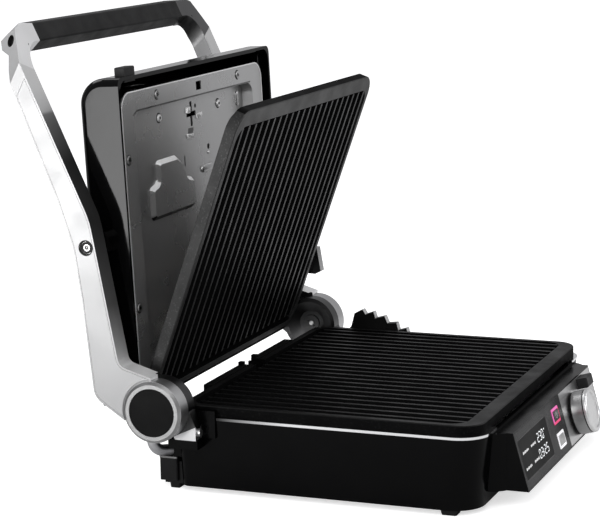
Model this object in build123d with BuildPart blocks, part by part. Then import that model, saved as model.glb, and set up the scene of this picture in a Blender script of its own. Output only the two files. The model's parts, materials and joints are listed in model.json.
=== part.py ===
from build123d import *
import os
from math import cos, radians, sin

os.makedirs("parts", exist_ok=True)

# Open contact grill. Millimetres, X to the right as seen from the front, Y to the back, Z up.
# The origin is on the table under the middle of the lower cooking plate.

SIDES = (("left", -1), ("right", 1))

# Clearances
running_gap = 0.3
slide_gap = 0.3
shaft_gap = 0.05

# Cooking plates
plate_width = 290.0
plate_depth = 235.0
plate_corner = 18.0
plate_flange_height = 8.0
plate_flange_width = 6.0
plate_body_drop = 3.0
rib_count = 22
rib_pitch = 12.5
rib_width = 5.6
rib_draft = 24.0
rib_height = 2.9
floor_drop = 3.0
floor_border = 5.5
floor_front_border = 12.5
floor_rear_border = 6.0
lower_plate_face = 68.6
lip_inner = 11.0
lip_outer = 85.0
lip_reach = 7.0
lip_height = 6.2
lip_rise = 0.2
lug_width = 5.0
lug_depth = 4.0
lug_rise = 2.7
spout_reach = 9.0
spout_height = 6.0
spout_wall = 2.0

# Heating elements
element_radius = 3.5
element_half_width = plate_width / 2 - 35.0
element_inner_half = element_half_width / 2
element_front = -(plate_depth / 2 - 27.5)
element_rear = plate_depth / 2 - 47.5
element_middle = element_rear - 26.0
element_lead = 20.0
element_bend = 12.0
terminal_front = plate_depth / 2 - 32.5
terminal_width = 64.0
terminal_depth = 13.0
terminal_height = 8.0

# Base housing
base_width = plate_width
base_front = -(plate_depth / 2 - 2.0)
base_rear = plate_depth / 2 + 2.0
base_bottom = 4.5
base_top = lower_plate_face - 10.0
base_side_flare = 3.0
base_front_flare = 5.0
base_rear_flare = 2.0
base_front_corner = 23.0
base_rear_corner = 8.0
base_wall = 3.0
ledge_top = base_top - 11.6
ledge_height = 3.0
ledge_width = 5.0
cover_thickness = 2.5
cover_rear = base_rear + 14.5
cable_way_place = (-20.0, 34.0)
cable_way_size = (60.0, 16.0)
foot_height = base_bottom
front_foot_size = 14.0
front_foot_y = base_front + 22.0
front_foot_x = base_width / 2 - 9.0
rear_foot_width = 11.0
rear_foot_depth = 9.0
rear_foot_y = base_rear + 7.5
rear_foot_x = base_width / 2 - 12.0

# Power board: places, size and height of the relays and the transformer
power_board_y = -35.0
power_board_width = 164.0
power_board_depth = 74.0
power_post_radius = 3.5
power_post_height = 13.0
power_board_parts = (
    (((-50.0, -35.0), (0.0, -50.0)), (19.0, 15.0), 15.0),
    (((45.0, -30.0),), (30.0, 26.0), 18.0),
)

# Cord gland in the right wall
gland_y = 46.0
gland_z = 18.0
gland_hole_radius = 5.0
gland_bore = 3.3
gland_flange_radius = 8.0
gland_flange = 2.0
gland_reach = 14.0
gland_nut_radius = 7.5
gland_nut = 4.0

# Chrome trim
trim_height = 2.0
trim_overhang = 0.4
trim_width = 7.4
trim_rear = base_rear - 7.5
trim_gap_half = base_width / 2 - 34.0

# Lower reflector
sheet = 0.8
lower_pan_drop = 4.0
lower_pan_border = 12.0

# Drip tray
tray_half_width = base_width / 2 - 4.0
tray_block_half_width = base_width / 2 - 1.0
tray_front = base_rear - 53.5
tray_block_front = base_rear + 2.2
tray_rear = base_rear + 17.1
tray_floor = 2.0
tray_wall = 1.6
tray_drawer_top = 22.0
tray_block_top = 25.0
tray_trim_height = 1.3

# Rear cover
chute_bottom = 26.8
chute_top = 39.0
chute_shoulder = 32.3
chute_wall = 2.0
chute_slot_half = 14.0
chute_slot_width = 7.0
chute_front = base_rear - 3.0
chute_rear = base_rear + 14.0
chute_shoulder_y = base_rear + 13.3
chute_rise = 1.2

# Control housing
pod_half_width = base_width / 2 - 32.0
pod_bottom = 14.0
pod_top = base_top - 1.2
pod_face_top_y = base_front - 18.2
pod_face_bottom_y = base_front - 30.4
pod_wall = 3.0
pod_web = 5.0
pod_shelf = 4.5
panel_thickness = 2.0
panel_edge = 1.2
panel_split = 14.7
panel_seam = 0.3
glass_opening = (6.0 - pod_half_width, panel_split - 3.7)
fascia_opening = (panel_split + 3.8, pod_half_width - 6.0)
fairing_reach = 7.0
fairing_depth = 8.5
display_left = 7.0 - pod_half_width
display_right = display_left + 72.0
display_top = 7.5
display_bottom = 37.8
button_width = 18.0
button_height = 12.2
button_x = panel_split - 19.7
power_button_down = 13.4
mode_button_x = button_x - 1.0
mode_button_down = 32.6
button_frame = 2.0
button_cap_depth = 5.0
button_proud = 0.9
button_frame_proud = 0.4
button_frame_depth = 0.8
button_travel = 1.2
board_depth = 12.4
board_thickness = 1.6
board_left = 3.4 - pod_half_width
board_right = panel_split + 47.3
board_top = 6.0
board_bottom = 37.4
board_posts = tuple(
    (x, y)
    for x in (4.4 - pod_half_width, panel_split + 0.1)
    for y in (-12.0, -33.0)
)
board_post_radius = 1.3
post_start = 4.0
switch_size = 6.0
switch_gap = 0.3
encoder_width = 12.0
encoder_height = 13.0
encoder_depth = 6.5
shaft_reach = 9.0
knob_x = panel_split + 32.3
knob_down = 25.0
knob_radius = 17.5
knob_height = 15.0
knob_face_depth = 3.0
knob_lift = 0.5
knob_skirt_wall = 0.6
knob_skirt_lift = 2.2
knob_groove = 0.9
knob_face_round = 1.6
knob_rim = 3.2
knob_dish = 1.0
knob_shaft_radius = 3.0
fascia_hole_radius = 5.0
release_left = pod_half_width - 43.0
release_right = release_left + 18.0
release_top = 2.4
release_bottom = 10.7
release_reach = 9.0
release_tail = 6.0
release_round = 1.2

# Hinge
axis_y = base_rear + 7.1
axis_z = lower_plate_face - 0.3
hub_radius = 23.5
bracket_inner = base_width / 2 + 5.0
bracket_outer = bracket_inner + 11.0
hub_outer = bracket_outer + 13.5
bezel_depth = 2.0
bezel_radius = 21.3
cap_radius = 18.4
cap_thickness = 4.0
pin_radius = 5.0
pin_head_radius = 7.0
pin_head_height = 2.0
pin_end = hub_outer - 3.5
pin_seat = 7.0
bracket_ear = ((23.2, 3.0), (25.4, -6.3), (16.9, -12.8), (8.0, -22.0), (0.0, 0.0))
funnel_radius = 20.0
funnel_depth = 6.0
funnel_angle = 56.0
bracket_screw_z = 50.5
bracket_screw_radius = 1.6
bracket_screw_head = 3.2
bracket_screw_head_height = 2.2
bracket_screw_length = 8.0
seat_bottom = 38.0
seat_top = 45.0
seat_front = base_rear - 22.5
seat_rear = base_rear + 1.5
shoulder_front = base_rear - 32.5
shoulder_top = 66.0
shoulder_gap = 0.3
plate_side_gap = 0.6

# Cable conduit
conduit_radius = 4.4
conduit_bore = 3.2
conduit_bend = 10.0
conduit_line = ((-5.0, 9.8, -18.3), (-5.0, 9.8, -35.3), (8.0, 0.9, -37.1))

# Arms and handle
arm_inner = bracket_outer - 4.5
arm_cover_thickness = 2.0
arm_cover_border = 1.3
arm_hub_gap = 3.3
hub_groove_width = 0.9
hub_groove_depth = 1.2
pivot_y = axis_y + 50.5
pivot_z = axis_z + 122.1
pivot_radius = 4.0
pivot_head_radius = 5.1
pivot_bolt_head = 4.6
pivot_head_depth = 3.0
pivot_head_proud = 0.4
pivot_socket = 1.9
pivot_hold = 6.0
corner_inner = hub_outer - 44.5
grip_outline = (
    (112.1, 285.0),
    (105.8, 272.0),
    (114.4, 263.2),
    (123.9, 266.2),
    (128.9, 277.2),
    (123.4, 285.0),
)
arm_front_line = ((46.9, 143.2), (26.4, 33.7))
arm_hub_front = (1.0, 26.1)
arm_hub_rear = (20.5, -9.6)
arm_rear_line = (
    (47.7, 8.2),
    (55.4, 82.5),
    (61.1, 121.7),
    (72.9, 157.4),
    (112.0, 251.7),
)
arm_rounds = (
    (arm_front_line[0], 60.0),
    (arm_front_line[1], 8.0),
    (arm_rear_line[0], 14.0),
    (arm_rear_line[2], 60.0),
    (arm_rear_line[3], 60.0),
    (arm_rear_line[4], 10.0),
)
crease_low = (109.3, 240.9)
crease_high = (99.0, 261.1)
mitre_turn_in = 16.5
crown_front = (10.9, 113.4, 279.3)
crown_rear = (17.3, 121.4, 275.4)
elbow_radius = 20.0
elbow_low = 227.0
elbow_room = 60.0
cover_head = ((104.4, 231.7), (95.4, 249.3), (73.4, 301.7), (163.4, 301.7), (163.4, 231.7))
cover_gap = 0.25
grip_screw_place = (13.9, 114.0, 273.9)
grip_screw_radius = 1.6
grip_screw_head = 3.6
grip_screw_head_height = 2.4
grip_screw_length = 9.0
grip_screw_recess = 4.6
grip_screw_recess_depth = 5.0
grip_round = 2.0
post_inner = base_width / 2 + 13.5
post_outer = post_inner + 8.5
post_outline = ((34.4, 67.7), (-4.8, 67.2), (-8.2, 46.3), (-3.0, 43.7), (31.4, 45.2))

# Lid
lid_lean = 2.4
lid_width = base_width + 6.0
lid_foot_y = axis_y + 22.36
lid_foot_z = axis_z - 4.3
lid_height = plate_depth + 15.5
lid_thickness = 34.0
lid_top_round = 20.0
lid_foot_round = 7.0
lid_opening_gap = 0.6
lid_ledge_depth = 4.8
lid_opening_bottom = 2.4
lid_opening_top = lid_height - 2.5
lid_cavity_half_width = lid_width / 2 - 15.0
lid_cavity_border = 4.0
boss_radius = 11.0
boss_root = 12.0
upper_reflector_width = lid_width - 22.0
upper_reflector_bottom = 14.0
upper_reflector_top = lid_height - 12.5
upper_reflector_corner = 14.0
pan_half_width = upper_reflector_width / 2 - 21.0
pan_bottom = 24.0
pan_top = upper_reflector_top - 16.0
pan_depth = 9.0
pan_corner = 10.0
latch_left = 20.0 - lid_width / 2
latch_right = latch_left + 18.0
latch_front_depth = 4.0
latch_rear_depth = 12.0
latch_rise = 6.5
latch_tail = 5.0
latch_round = 1.0
lid_side_round = 6.0
lid_opening_corner = 10.0
pan_draft = 12.0
bell_rise = 3.2
bell_draft = 46.0
bell_round = 5.0
bell_foot = upper_reflector_top - 106.0
bell_outline = (
    (-80.0, bell_foot),
    (2.0, bell_foot),
    (2.0, bell_foot + 24.0),
    (-12.0, bell_foot + 27.0),
    (-20.0, bell_foot + 40.0),
    (-30.0, bell_foot + 46.0),
    (-66.0, bell_foot + 46.0),
    (-67.0, bell_foot + 29.0),
    (-80.0, bell_foot + 26.0),
)
window_place = (5.3, upper_reflector_top - 7.8)
window_size = (10.0, 7.0)
cross_place = (7.0, upper_reflector_top - 31.0)
cross_width = 18.0
cross_height = 20.0
cross_bar = 4.0
punched_slot_place = (-10.8, upper_reflector_top - 67.5)
punched_slot_length = 9.0
punched_slot_width = 2.2
punched_hole_place = (37.0, upper_reflector_top - 61.3)
punched_hole_radius = 2.4
reflector_screw_head = 3.4
reflector_screw_height = 0.9
reflector_screw_round = 0.5
flange_middle = upper_reflector_width / 2 - 7.0
flange_screws = (
    (-74.2, upper_reflector_top - 7.0),
    (85.0, upper_reflector_top - 7.0),
    (-flange_middle, 187.0),
    (flange_middle, 187.0),
    (-flange_middle, 73.5),
    (flange_middle, 73.5),
)

# Upper plate
tilt_y = axis_y + 21.4
tilt_z = axis_z + 3.7
upper_plate_lean = 19.97
upper_face_bottom_y = tilt_y - 6.6
upper_face_bottom_z = tilt_z - 2.5
tilt_pin_radius = 1.8
tilt_barrel_radius = 3.4
tilt_barrel_length = 12.0
tilt_ear_width = 4.0
ear_depth = 6.4
ear_drop = 7.0
barrel_room = 0.6
barrel_root_place = (-2.0, 2.2)
barrel_root_size = (4.6, 4.4)
tilt_x = 92.0
upper_lug_reach = 2.3
upper_lug_x = 13.5
upper_lug_width = 8.0
upper_lug_height = 6.0

# Height rack
rack_inner = base_width / 2 + 5.3
rack_thickness = 7.0
rack_foot = 33.3
rack_outline = (
    (-29.5, rack_foot),
    (-29.5, 66.0),
    (-32.2, 69.0),
    (-35.2, 80.4),
    (-42.7, 84.4),
    (-45.4, 80.1),
    (-52.9, 82.8),
    (-54.6, 77.1),
    (-63.0, 79.4),
    (-65.7, 73.3),
    (-74.0, 74.2),
    (-75.7, 67.7),
    (-83.1, 69.9),
    (-85.5, 62.0),
    (-89.5, 60.0),
    (-89.5, rack_foot),
)
rail_floor = 30.0
rail_wall = 2.4
rail_front = base_rear - 141.5
rail_rear = base_rear - 25.5
rail_lip = 10.0
rail_step = 3.0
rail_back_top = 58.0

# Derived values
gland_wall = base_width / 2 + base_side_flare * (gland_z - base_bottom) / (base_top - base_bottom)
gland_plane = Plane(origin=(gland_wall, gland_y, gland_z), x_dir=(0, 1, 0), z_dir=(1, 0, 0))
rack_outer = rack_inner + rack_thickness
shoulder_inner = base_width / 2 + plate_side_gap - slide_gap
plate_thickness = plate_flange_height + plate_body_drop
lower_face = Plane.XY.offset(lower_plate_face)
upper_lean = radians(upper_plate_lean)
upper_up = Vector(0, -sin(upper_lean), cos(upper_lean))
upper_normal = Vector(0, -cos(upper_lean), -sin(upper_lean))
upper_centre = Vector(0, upper_face_bottom_y, upper_face_bottom_z) + upper_up * (plate_depth / 2)
upper_face = Plane(origin=upper_centre, x_dir=(-1, 0, 0), z_dir=upper_normal)
lid_angle = radians(lid_lean)
lid_back = Vector(0, cos(lid_angle), -sin(lid_angle))
lid_up = Vector(0, sin(lid_angle), cos(lid_angle))
lid_foot = Vector(0, lid_foot_y, lid_foot_z)
lid_face = Plane(origin=lid_foot, x_dir=(1, 0, 0), z_dir=-lid_back)
lid_out = Axis((0, 0, 0), lid_face.z_dir)
face_fall = Vector(0, pod_face_bottom_y - pod_face_top_y, pod_bottom - pod_top)
face_length = face_fall.length
face_down = face_fall.normalized()
pod_face = Plane(
    origin=(0, pod_face_top_y, pod_top),
    x_dir=(1, 0, 0),
    z_dir=(0, face_down.Z, -face_down.Y),
)


def from_hub(points):
    """Y and Z of points that are given from the hinge axis."""
    return [(axis_y + y, axis_z + z) for y, z in points]


grip_section = from_hub(grip_outline)


def base_section(height, inset):
    """Horizontal section of the base at a height, drawn in by inset."""
    share = (height - base_bottom) / (base_top - base_bottom)
    half_width = base_width / 2 + base_side_flare * share - inset
    front = base_front - base_front_flare * share + inset
    rear = base_rear + base_rear_flare * share - inset
    with BuildSketch(Plane.XY.offset(height)) as section:
        with Locations((0, (front + rear) / 2)):
            Rectangle(2 * half_width, rear - front)
        fillet(section.vertices().group_by(Axis.Y)[0], base_front_corner - inset)
        fillet(section.vertices().group_by(Axis.Y)[-1], max(base_rear_corner - inset, 1.0))
    return section.sketch


def base_solid(low, high, inset):
    """Tapering block between two heights of the base, drawn in by inset."""
    with BuildPart(mode=Mode.PRIVATE) as block:
        loft([base_section(low, inset), base_section(high, inset)], ruled=True)
    return block.part


def pod_point(down, depth):
    """Y and Z of a point below the top edge of the control face and behind the face."""
    point = pod_face.origin + face_down * down - pod_face.z_dir * depth
    return point.Y, point.Z


def hub_plane(x):
    """Plane square to the hinge axis at x, centred on the axis, facing +X."""
    return Plane(origin=(x, axis_y, axis_z), x_dir=(0, 1, 0), z_dir=(1, 0, 0))


def pivot_plane(x):
    """Plane square to the lid pivot at x, facing +X."""
    return Plane(origin=(x, pivot_y, pivot_z), x_dir=(0, 1, 0), z_dir=(1, 0, 0))


def tilt_plane(x):
    """Plane square to the upper plate's tilt axis at x, facing +X."""
    return Plane(origin=(x, tilt_y, tilt_z), x_dir=(0, 1, 0), z_dir=(1, 0, 0))


def cooking_plate(face_plane):
    """Ribbed cast plate. Its rim lies in face_plane and its drain edge is towards +y there."""
    floor_length = plate_depth - floor_front_border - floor_rear_border
    floor_shift = (floor_front_border - floor_rear_border) / 2
    with BuildPart(mode=Mode.PRIVATE) as plate:
        with BuildSketch(face_plane.offset(-plate_flange_height)):
            RectangleRounded(plate_width, plate_depth, plate_corner)
        extrude(amount=plate_flange_height)
        chamfer(plate.faces().sort_by(Axis((0, 0, 0), face_plane.z_dir))[-1].edges(), 0.7)
        with BuildSketch(face_plane.offset(-plate_flange_height)):
            RectangleRounded(
                plate_width - 2 * plate_flange_width,
                plate_depth - 2 * plate_flange_width,
                plate_corner - plate_flange_width,
            )
        extrude(amount=-plate_body_drop)
        with BuildSketch(face_plane):
            with Locations((0, floor_shift)):
                RectangleRounded(
                    plate_width - 2 * floor_border,
                    floor_length,
                    plate_corner - floor_border,
                )
        extrude(amount=-floor_drop, mode=Mode.SUBTRACT)
        with BuildSketch(face_plane.offset(-floor_drop)):
            with Locations((0, floor_shift - 2.5)):
                with GridLocations(rib_pitch, 0, rib_count, 1):
                    SlotOverall(floor_length - 3.0, rib_width, rotation=90)
        extrude(amount=rib_height, taper=rib_draft)
    return plate.part


def heating_element(face_plane):
    """Sheathed element bent flat under a plate, its two ends side by side at the drain edge."""
    level = -plate_thickness - element_radius
    path_plane = face_plane.offset(level)
    with BuildPart(mode=Mode.PRIVATE) as element:
        with BuildLine(path_plane) as path:
            FilletPolyline(
                (-element_lead, terminal_front),
                (-element_lead, element_rear),
                (-element_half_width, element_rear),
                (-element_half_width, element_front),
                (-element_inner_half, element_front),
                (-element_inner_half, element_middle),
                (element_inner_half, element_middle),
                (element_inner_half, element_front),
                (element_half_width, element_front),
                (element_half_width, element_rear),
                (element_lead, element_rear),
                (element_lead, terminal_front),
                radius=element_bend,
            )
        start = path.line @ 0
        with BuildSketch(Plane(origin=start, x_dir=face_plane.x_dir, z_dir=path.line % 0)):
            Circle(element_radius)
        sweep(path=path.line)
    return element.part


def terminal_block(face_plane):
    """Ceramic block on the back of a plate that takes both ends of its element."""
    with BuildPart(mode=Mode.PRIVATE) as block:
        with BuildSketch(face_plane.offset(-plate_thickness)):
            with Locations((0, terminal_front + terminal_depth / 2)):
                Rectangle(terminal_width, terminal_depth)
        extrude(amount=-terminal_height)
        chamfer(block.edges().filter_by(Axis((0, 0, 0), face_plane.z_dir)), 1.5)
    return block.part


def lid_side(x):
    """Plane across the lid at x, with its x axis into the lid and its y axis up the lid."""
    return Plane(origin=(x, lid_foot_y, lid_foot_z), x_dir=lid_back, z_dir=(1, 0, 0))


def lid_section(inset, front_depth):
    """Side section of the lid, drawn in by inset, starting front_depth behind its rim."""
    rear_depth = lid_thickness - inset
    with BuildSketch(mode=Mode.PRIVATE) as section:
        with Locations(((front_depth + rear_depth) / 2, lid_height / 2)):
            Rectangle(rear_depth - front_depth, lid_height - 2 * inset)
        rear_corners = section.vertices().group_by(Axis.X)[-1].sort_by(Axis.Y)
        fillet(rear_corners[1], lid_top_round - inset)
        fillet(rear_corners[0], lid_foot_round - inset)
    return section.sketch_local


# Base housing: a tapering tub, open below for the bottom cover and above for the plate
with BuildPart() as base_housing:
    add(base_solid(base_bottom, base_top, 0))
    add(base_solid(base_bottom, ledge_top - ledge_height, base_wall), mode=Mode.SUBTRACT)
    add(
        base_solid(ledge_top - ledge_height, ledge_top, base_wall + ledge_width),
        mode=Mode.SUBTRACT,
    )
    add(base_solid(ledge_top, base_top, base_wall), mode=Mode.SUBTRACT)
    for name, side in SIDES:
        # seat and backing of the hinge bracket, and the shoulder in front of it
        with BuildSketch(Plane.YZ.offset(side * (base_width / 2 - 0.5))):
            with Locations(((seat_front + seat_rear) / 2, (seat_bottom + seat_top) / 2)):
                Rectangle(seat_rear - seat_front, seat_top - seat_bottom)
        extrude(amount=side * (bracket_outer - base_width / 2))
        with BuildSketch(Plane.YZ.offset(side * (base_width / 2 - 0.5))):
            with Locations(((shoulder_front + seat_rear) / 2, (seat_top + shoulder_top) / 2)):
                Rectangle(seat_rear - shoulder_front, shoulder_top - seat_top)
        extrude(amount=side * (bracket_inner - shoulder_gap - base_width / 2 + 0.5))
    # room for the plate's flange and the trim between the shoulders
    with BuildSketch(Plane.XY.offset(base_top)):
        Rectangle(plate_width + 2 * plate_side_gap, 2 * base_rear + 20)
    extrude(amount=20, mode=Mode.SUBTRACT)
    # rail of the height rack on the right wall
    with BuildSketch(Plane.XZ.offset(-rail_rear)):
        with BuildLine():
            Polyline(
                (base_width / 2 + 0.5, rail_floor),
                (rack_outer + slide_gap + rail_wall, rail_floor),
                (rack_outer + slide_gap + rail_wall, rail_floor + rail_lip),
                (rack_outer + slide_gap, rail_floor + rail_lip),
                (rack_outer + slide_gap, rail_floor + rail_step),
                (rack_inner - slide_gap, rail_floor + rail_step),
                (rack_inner - slide_gap, rail_back_top),
                (base_width / 2 + 0.5, rail_back_top),
                close=True,
            )
        make_face()
    extrude(amount=rail_rear - rail_front)
    # opening for the drip tray in the rear wall
    with BuildSketch(Plane.XZ.offset(-(base_rear + 6))):
        with Locations((0, (base_bottom + tray_block_top + 0.6) / 2)):
            Rectangle(2 * (tray_half_width + slide_gap), tray_block_top + 0.6 - base_bottom)
    extrude(amount=14, mode=Mode.SUBTRACT)
    # cable way into the control housing
    with BuildSketch(Plane.XZ.offset(-base_front + 8)):
        with Locations(cable_way_place):
            Rectangle(*cable_way_size)
    extrude(amount=-14, mode=Mode.SUBTRACT)
    # hole of the cord gland
    with BuildSketch(gland_plane.offset(gland_flange)):
        Circle(gland_hole_radius)
    extrude(amount=-(gland_flange + base_wall + 3), mode=Mode.SUBTRACT)
base_housing.part.label = "base_housing"
export_step(base_housing.part, "parts/base_housing.step")

# Bottom cover: closes the tub and carries the drip tray out behind it
with BuildPart() as bottom_cover:
    extrude(base_section(base_bottom, base_wall + 0.2), amount=cover_thickness)
    with BuildSketch(Plane.XY.offset(base_bottom)):
        with Locations((0, (base_rear - 30 + cover_rear) / 2)):
            Rectangle(2 * (tray_half_width - 1.0), cover_rear - base_rear + 30)
    extrude(amount=cover_thickness)
    with BuildSketch(Plane.XY.offset(base_bottom)):
        with GridLocations(26, 9, 7, 10):
            SlotOverall(18, 2.5)
    extrude(amount=cover_thickness, mode=Mode.SUBTRACT)
    with BuildSketch(Plane.XY.offset(base_bottom + cover_thickness)):
        with Locations((0, power_board_y)):
            with GridLocations(power_board_width - 14, power_board_depth - 14, 2, 2):
                Circle(power_post_radius)
    extrude(amount=power_post_height)
bottom_cover.part.label = "bottom_cover"
export_step(bottom_cover.part, "parts/bottom_cover.step")

# Chrome trim: a flat strip along both sides and round the front corners
with BuildPart() as trim_ring:
    add(base_solid(base_top, base_top + trim_height, -trim_overhang))
    add(base_solid(base_top, base_top + trim_height, trim_width - trim_overhang), mode=Mode.SUBTRACT)
    with BuildSketch(Plane.XY.offset(base_top)):
        with Locations((0, base_front)):
            Rectangle(2 * trim_gap_half, 60)
        with Locations((0, trim_rear + 50)):
            Rectangle(base_width + 60, 100)
        for name, side in SIDES:
            with Locations((side * (shoulder_inner + 10), shoulder_front + 50)):
                Rectangle(20, 100 + 2 * shoulder_gap)
    extrude(amount=trim_height, mode=Mode.SUBTRACT)
trim_ring.part.label = "trim_ring"
export_step(trim_ring.part, "parts/trim_ring.step")

# Lower reflector: sheet pan lying on the ledge under the plate
with BuildPart() as lower_reflector:
    add(base_solid(ledge_top, ledge_top + sheet, base_wall + 0.4))
    with BuildSketch(Plane.XY.offset(ledge_top + sheet)):
        RectangleRounded(
            base_width - 2 * lower_pan_border,
            base_rear - base_front - 2 * lower_pan_border,
            plate_corner,
        )
    extrude(amount=-lower_pan_drop)
    with BuildSketch(Plane.XY.offset(ledge_top + sheet)):
        RectangleRounded(
            base_width - 2 * lower_pan_border - 2 * sheet,
            base_rear - base_front - 2 * lower_pan_border - 2 * sheet,
            plate_corner - sheet,
        )
    extrude(amount=-(lower_pan_drop - sheet), mode=Mode.SUBTRACT)
lower_reflector.part.label = "lower_reflector"
export_step(lower_reflector.part, "parts/lower_reflector.step")

# Lower cooking plate with its rear lips, drain spout and lugs
with BuildPart() as lower_plate:
    add(cooking_plate(lower_face))
    lip_middle = (lip_inner + lip_outer) / 2
    with BuildSketch(Plane.XY.offset(lower_plate_face + lip_rise - lip_height)):
        for name, side in SIDES:
            with Locations((side * lip_middle, plate_depth / 2 + lip_reach / 2)):
                Rectangle(lip_outer - lip_inner, lip_reach + 0.2)
    extrude(amount=lip_height)
    with BuildSketch(Plane.XY.offset(lower_plate_face - plate_flange_height)):
        with Locations((0, plate_depth / 2 + spout_reach / 2 - 1)):
            Rectangle(2 * (lip_inner + 0.5), spout_reach + 2)
    extrude(amount=spout_height)
    with BuildSketch(Plane.XY.offset(lower_plate_face - plate_flange_height + 1.5)):
        with Locations((0, plate_depth / 2 + spout_reach / 2)):
            Rectangle(2 * (lip_inner + 0.5 - spout_wall), spout_reach + 16)
    extrude(amount=20, mode=Mode.SUBTRACT)
    with BuildSketch(Plane.XY.offset(lower_plate_face + lip_rise - lip_height)):
        with Locations(
            (-lip_inner - lug_width / 2, plate_depth / 2 + lip_reach - lug_depth / 2),
            (lip_inner + lug_width / 2, plate_depth / 2 + lip_reach - lug_depth / 2),
        ):
            Rectangle(lug_width, lug_depth)
    extrude(amount=lip_height + lug_rise - lip_rise)
lower_plate.part.label = "lower_plate"
export_step(lower_plate.part, "parts/lower_plate.step")

with BuildPart() as lower_element:
    add(heating_element(lower_face))
lower_element.part.label = "lower_heating_element"
export_step(lower_element.part, "parts/lower_heating_element.step")

with BuildPart() as lower_terminal:
    add(terminal_block(lower_face))
lower_terminal.part.label = "lower_terminal_block"
export_step(lower_terminal.part, "parts/lower_terminal_block.step")

# Power board on the bottom cover's posts
with BuildPart() as power_board:
    with BuildSketch(Plane.XY.offset(base_bottom + cover_thickness + power_post_height)):
        with Locations((0, power_board_y)):
            Rectangle(power_board_width, power_board_depth)
    extrude(amount=board_thickness)
    board_face = Plane.XY.offset(base_bottom + cover_thickness + power_post_height + board_thickness)
    for places, size, height in power_board_parts:
        with BuildSketch(board_face):
            with Locations(*places):
                Rectangle(*size)
        extrude(amount=height)
power_board.part.label = "power_board"
export_step(power_board.part, "parts/power_board.step")

# Cord gland: flange and sleeve outside the wall, nut inside
with BuildPart() as cord_gland:
    with BuildSketch(gland_plane.offset(gland_flange / 2)):
        Circle(gland_flange_radius)
    extrude(amount=gland_flange)
    with BuildSketch(gland_plane.offset(gland_flange)):
        Circle(gland_hole_radius + 1.0)
    extrude(amount=gland_reach, taper=5)
    with BuildSketch(gland_plane.offset(gland_flange)):
        Circle(gland_hole_radius - 0.2)
    extrude(amount=-(gland_flange + base_wall + gland_nut + 1))
    with BuildSketch(gland_plane.offset(-base_wall - 0.5)):
        RegularPolygon(gland_nut_radius, 6)
    extrude(amount=-gland_nut)
    with BuildSketch(gland_plane.offset(gland_flange + gland_reach)):
        Circle(gland_bore)
    extrude(amount=-(2 * gland_reach + base_wall + gland_nut), mode=Mode.SUBTRACT)
cord_gland.part.label = "cord_gland"
export_step(cord_gland.part, "parts/cord_gland.step")

# Feet
with BuildPart() as front_feet:
    for name, side in SIDES:
        with BuildSketch(Plane.XY.offset(base_bottom)):
            with Locations((side * front_foot_x, front_foot_y)):
                RectangleRounded(front_foot_size, front_foot_size, 3.0)
        extrude(amount=-foot_height, taper=16)
front_feet.part.label = "front_feet"
export_step(front_feet.part, "parts/front_feet.step")

with BuildPart() as rear_feet:
    for name, side in SIDES:
        with BuildSketch(Plane.XY.offset(base_bottom)):
            with Locations((side * rear_foot_x, rear_foot_y)):
                RectangleRounded(rear_foot_width, rear_foot_depth, 2.0)
        extrude(amount=-foot_height, taper=8)
rear_feet.part.label = "rear_feet"
export_step(rear_feet.part, "parts/rear_feet.step")

# Drip tray: a drawer with a deep outer block that shows behind the base
tray_bottom = base_bottom + cover_thickness + slide_gap
with BuildPart() as drip_tray:
    with BuildSketch(Plane.XY.offset(tray_bottom)):
        with Locations((0, (tray_front + tray_block_front) / 2)):
            Rectangle(2 * tray_half_width, tray_block_front - tray_front + 1)
    extrude(amount=tray_drawer_top - tray_bottom)
    with BuildSketch(Plane.XY.offset(tray_bottom)):
        with Locations((0, (tray_block_front + tray_rear) / 2)):
            RectangleRounded(2 * tray_block_half_width, tray_rear - tray_block_front, 1.5)
    extrude(amount=tray_block_top - tray_bottom)
    with BuildSketch(Plane.XY.offset(tray_bottom + tray_floor)):
        with Locations((0, (tray_front + tray_rear) / 2)):
            Rectangle(2 * (tray_half_width - tray_wall), tray_rear - tray_front - 2 * tray_wall)
    extrude(amount=tray_block_top, mode=Mode.SUBTRACT)
drip_tray.part.label = "drip_tray"
export_step(drip_tray.part, "parts/drip_tray.step")

with BuildPart() as tray_trim:
    with BuildSketch(Plane.XY.offset(tray_block_top)):
        with Locations((0, (tray_block_front + tray_rear) / 2)):
            RectangleRounded(2 * tray_block_half_width + 0.8, tray_rear - tray_block_front + 0.4, 1.5)
            Rectangle(
                2 * (tray_half_width - tray_wall),
                tray_rear - tray_block_front - 2 * tray_wall,
                mode=Mode.SUBTRACT,
            )
    extrude(amount=tray_trim_height)
tray_trim.part.label = "tray_trim"
export_step(tray_trim.part, "parts/tray_trim.step")

# Rear cover: grease chute over the tray, open below, with a slot for the drain spout
with BuildPart() as rear_cover:
    with BuildSketch(Plane.YZ.offset(-tray_block_half_width)):
        with BuildLine():
            Polyline(
                (chute_front, chute_bottom),
                (chute_front, chute_top + chute_rise),
                (chute_shoulder_y, chute_shoulder),
                (chute_rear, chute_bottom),
                close=True,
            )
        make_face()
    extrude(amount=2 * tray_block_half_width)
    with BuildSketch(Plane.YZ.offset(-tray_block_half_width + chute_wall)):
        with BuildLine():
            Polyline(
                (chute_front, chute_bottom),
                (chute_front, chute_top + chute_rise - 1.3 * chute_wall),
                (chute_shoulder_y - chute_wall, chute_shoulder - 0.6 * chute_wall),
                (chute_rear - chute_wall, chute_bottom),
                close=True,
            )
        make_face()
    extrude(amount=2 * (tray_block_half_width - chute_wall), mode=Mode.SUBTRACT)
    add(base_solid(base_bottom, base_top, 0), mode=Mode.SUBTRACT)
    with BuildSketch(Plane.XY.offset(chute_shoulder + 1.5)):
        with Locations((0, (chute_front + chute_rear) / 2)):
            Rectangle(2 * chute_slot_half, chute_slot_width)
    extrude(amount=12, mode=Mode.SUBTRACT)
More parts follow.
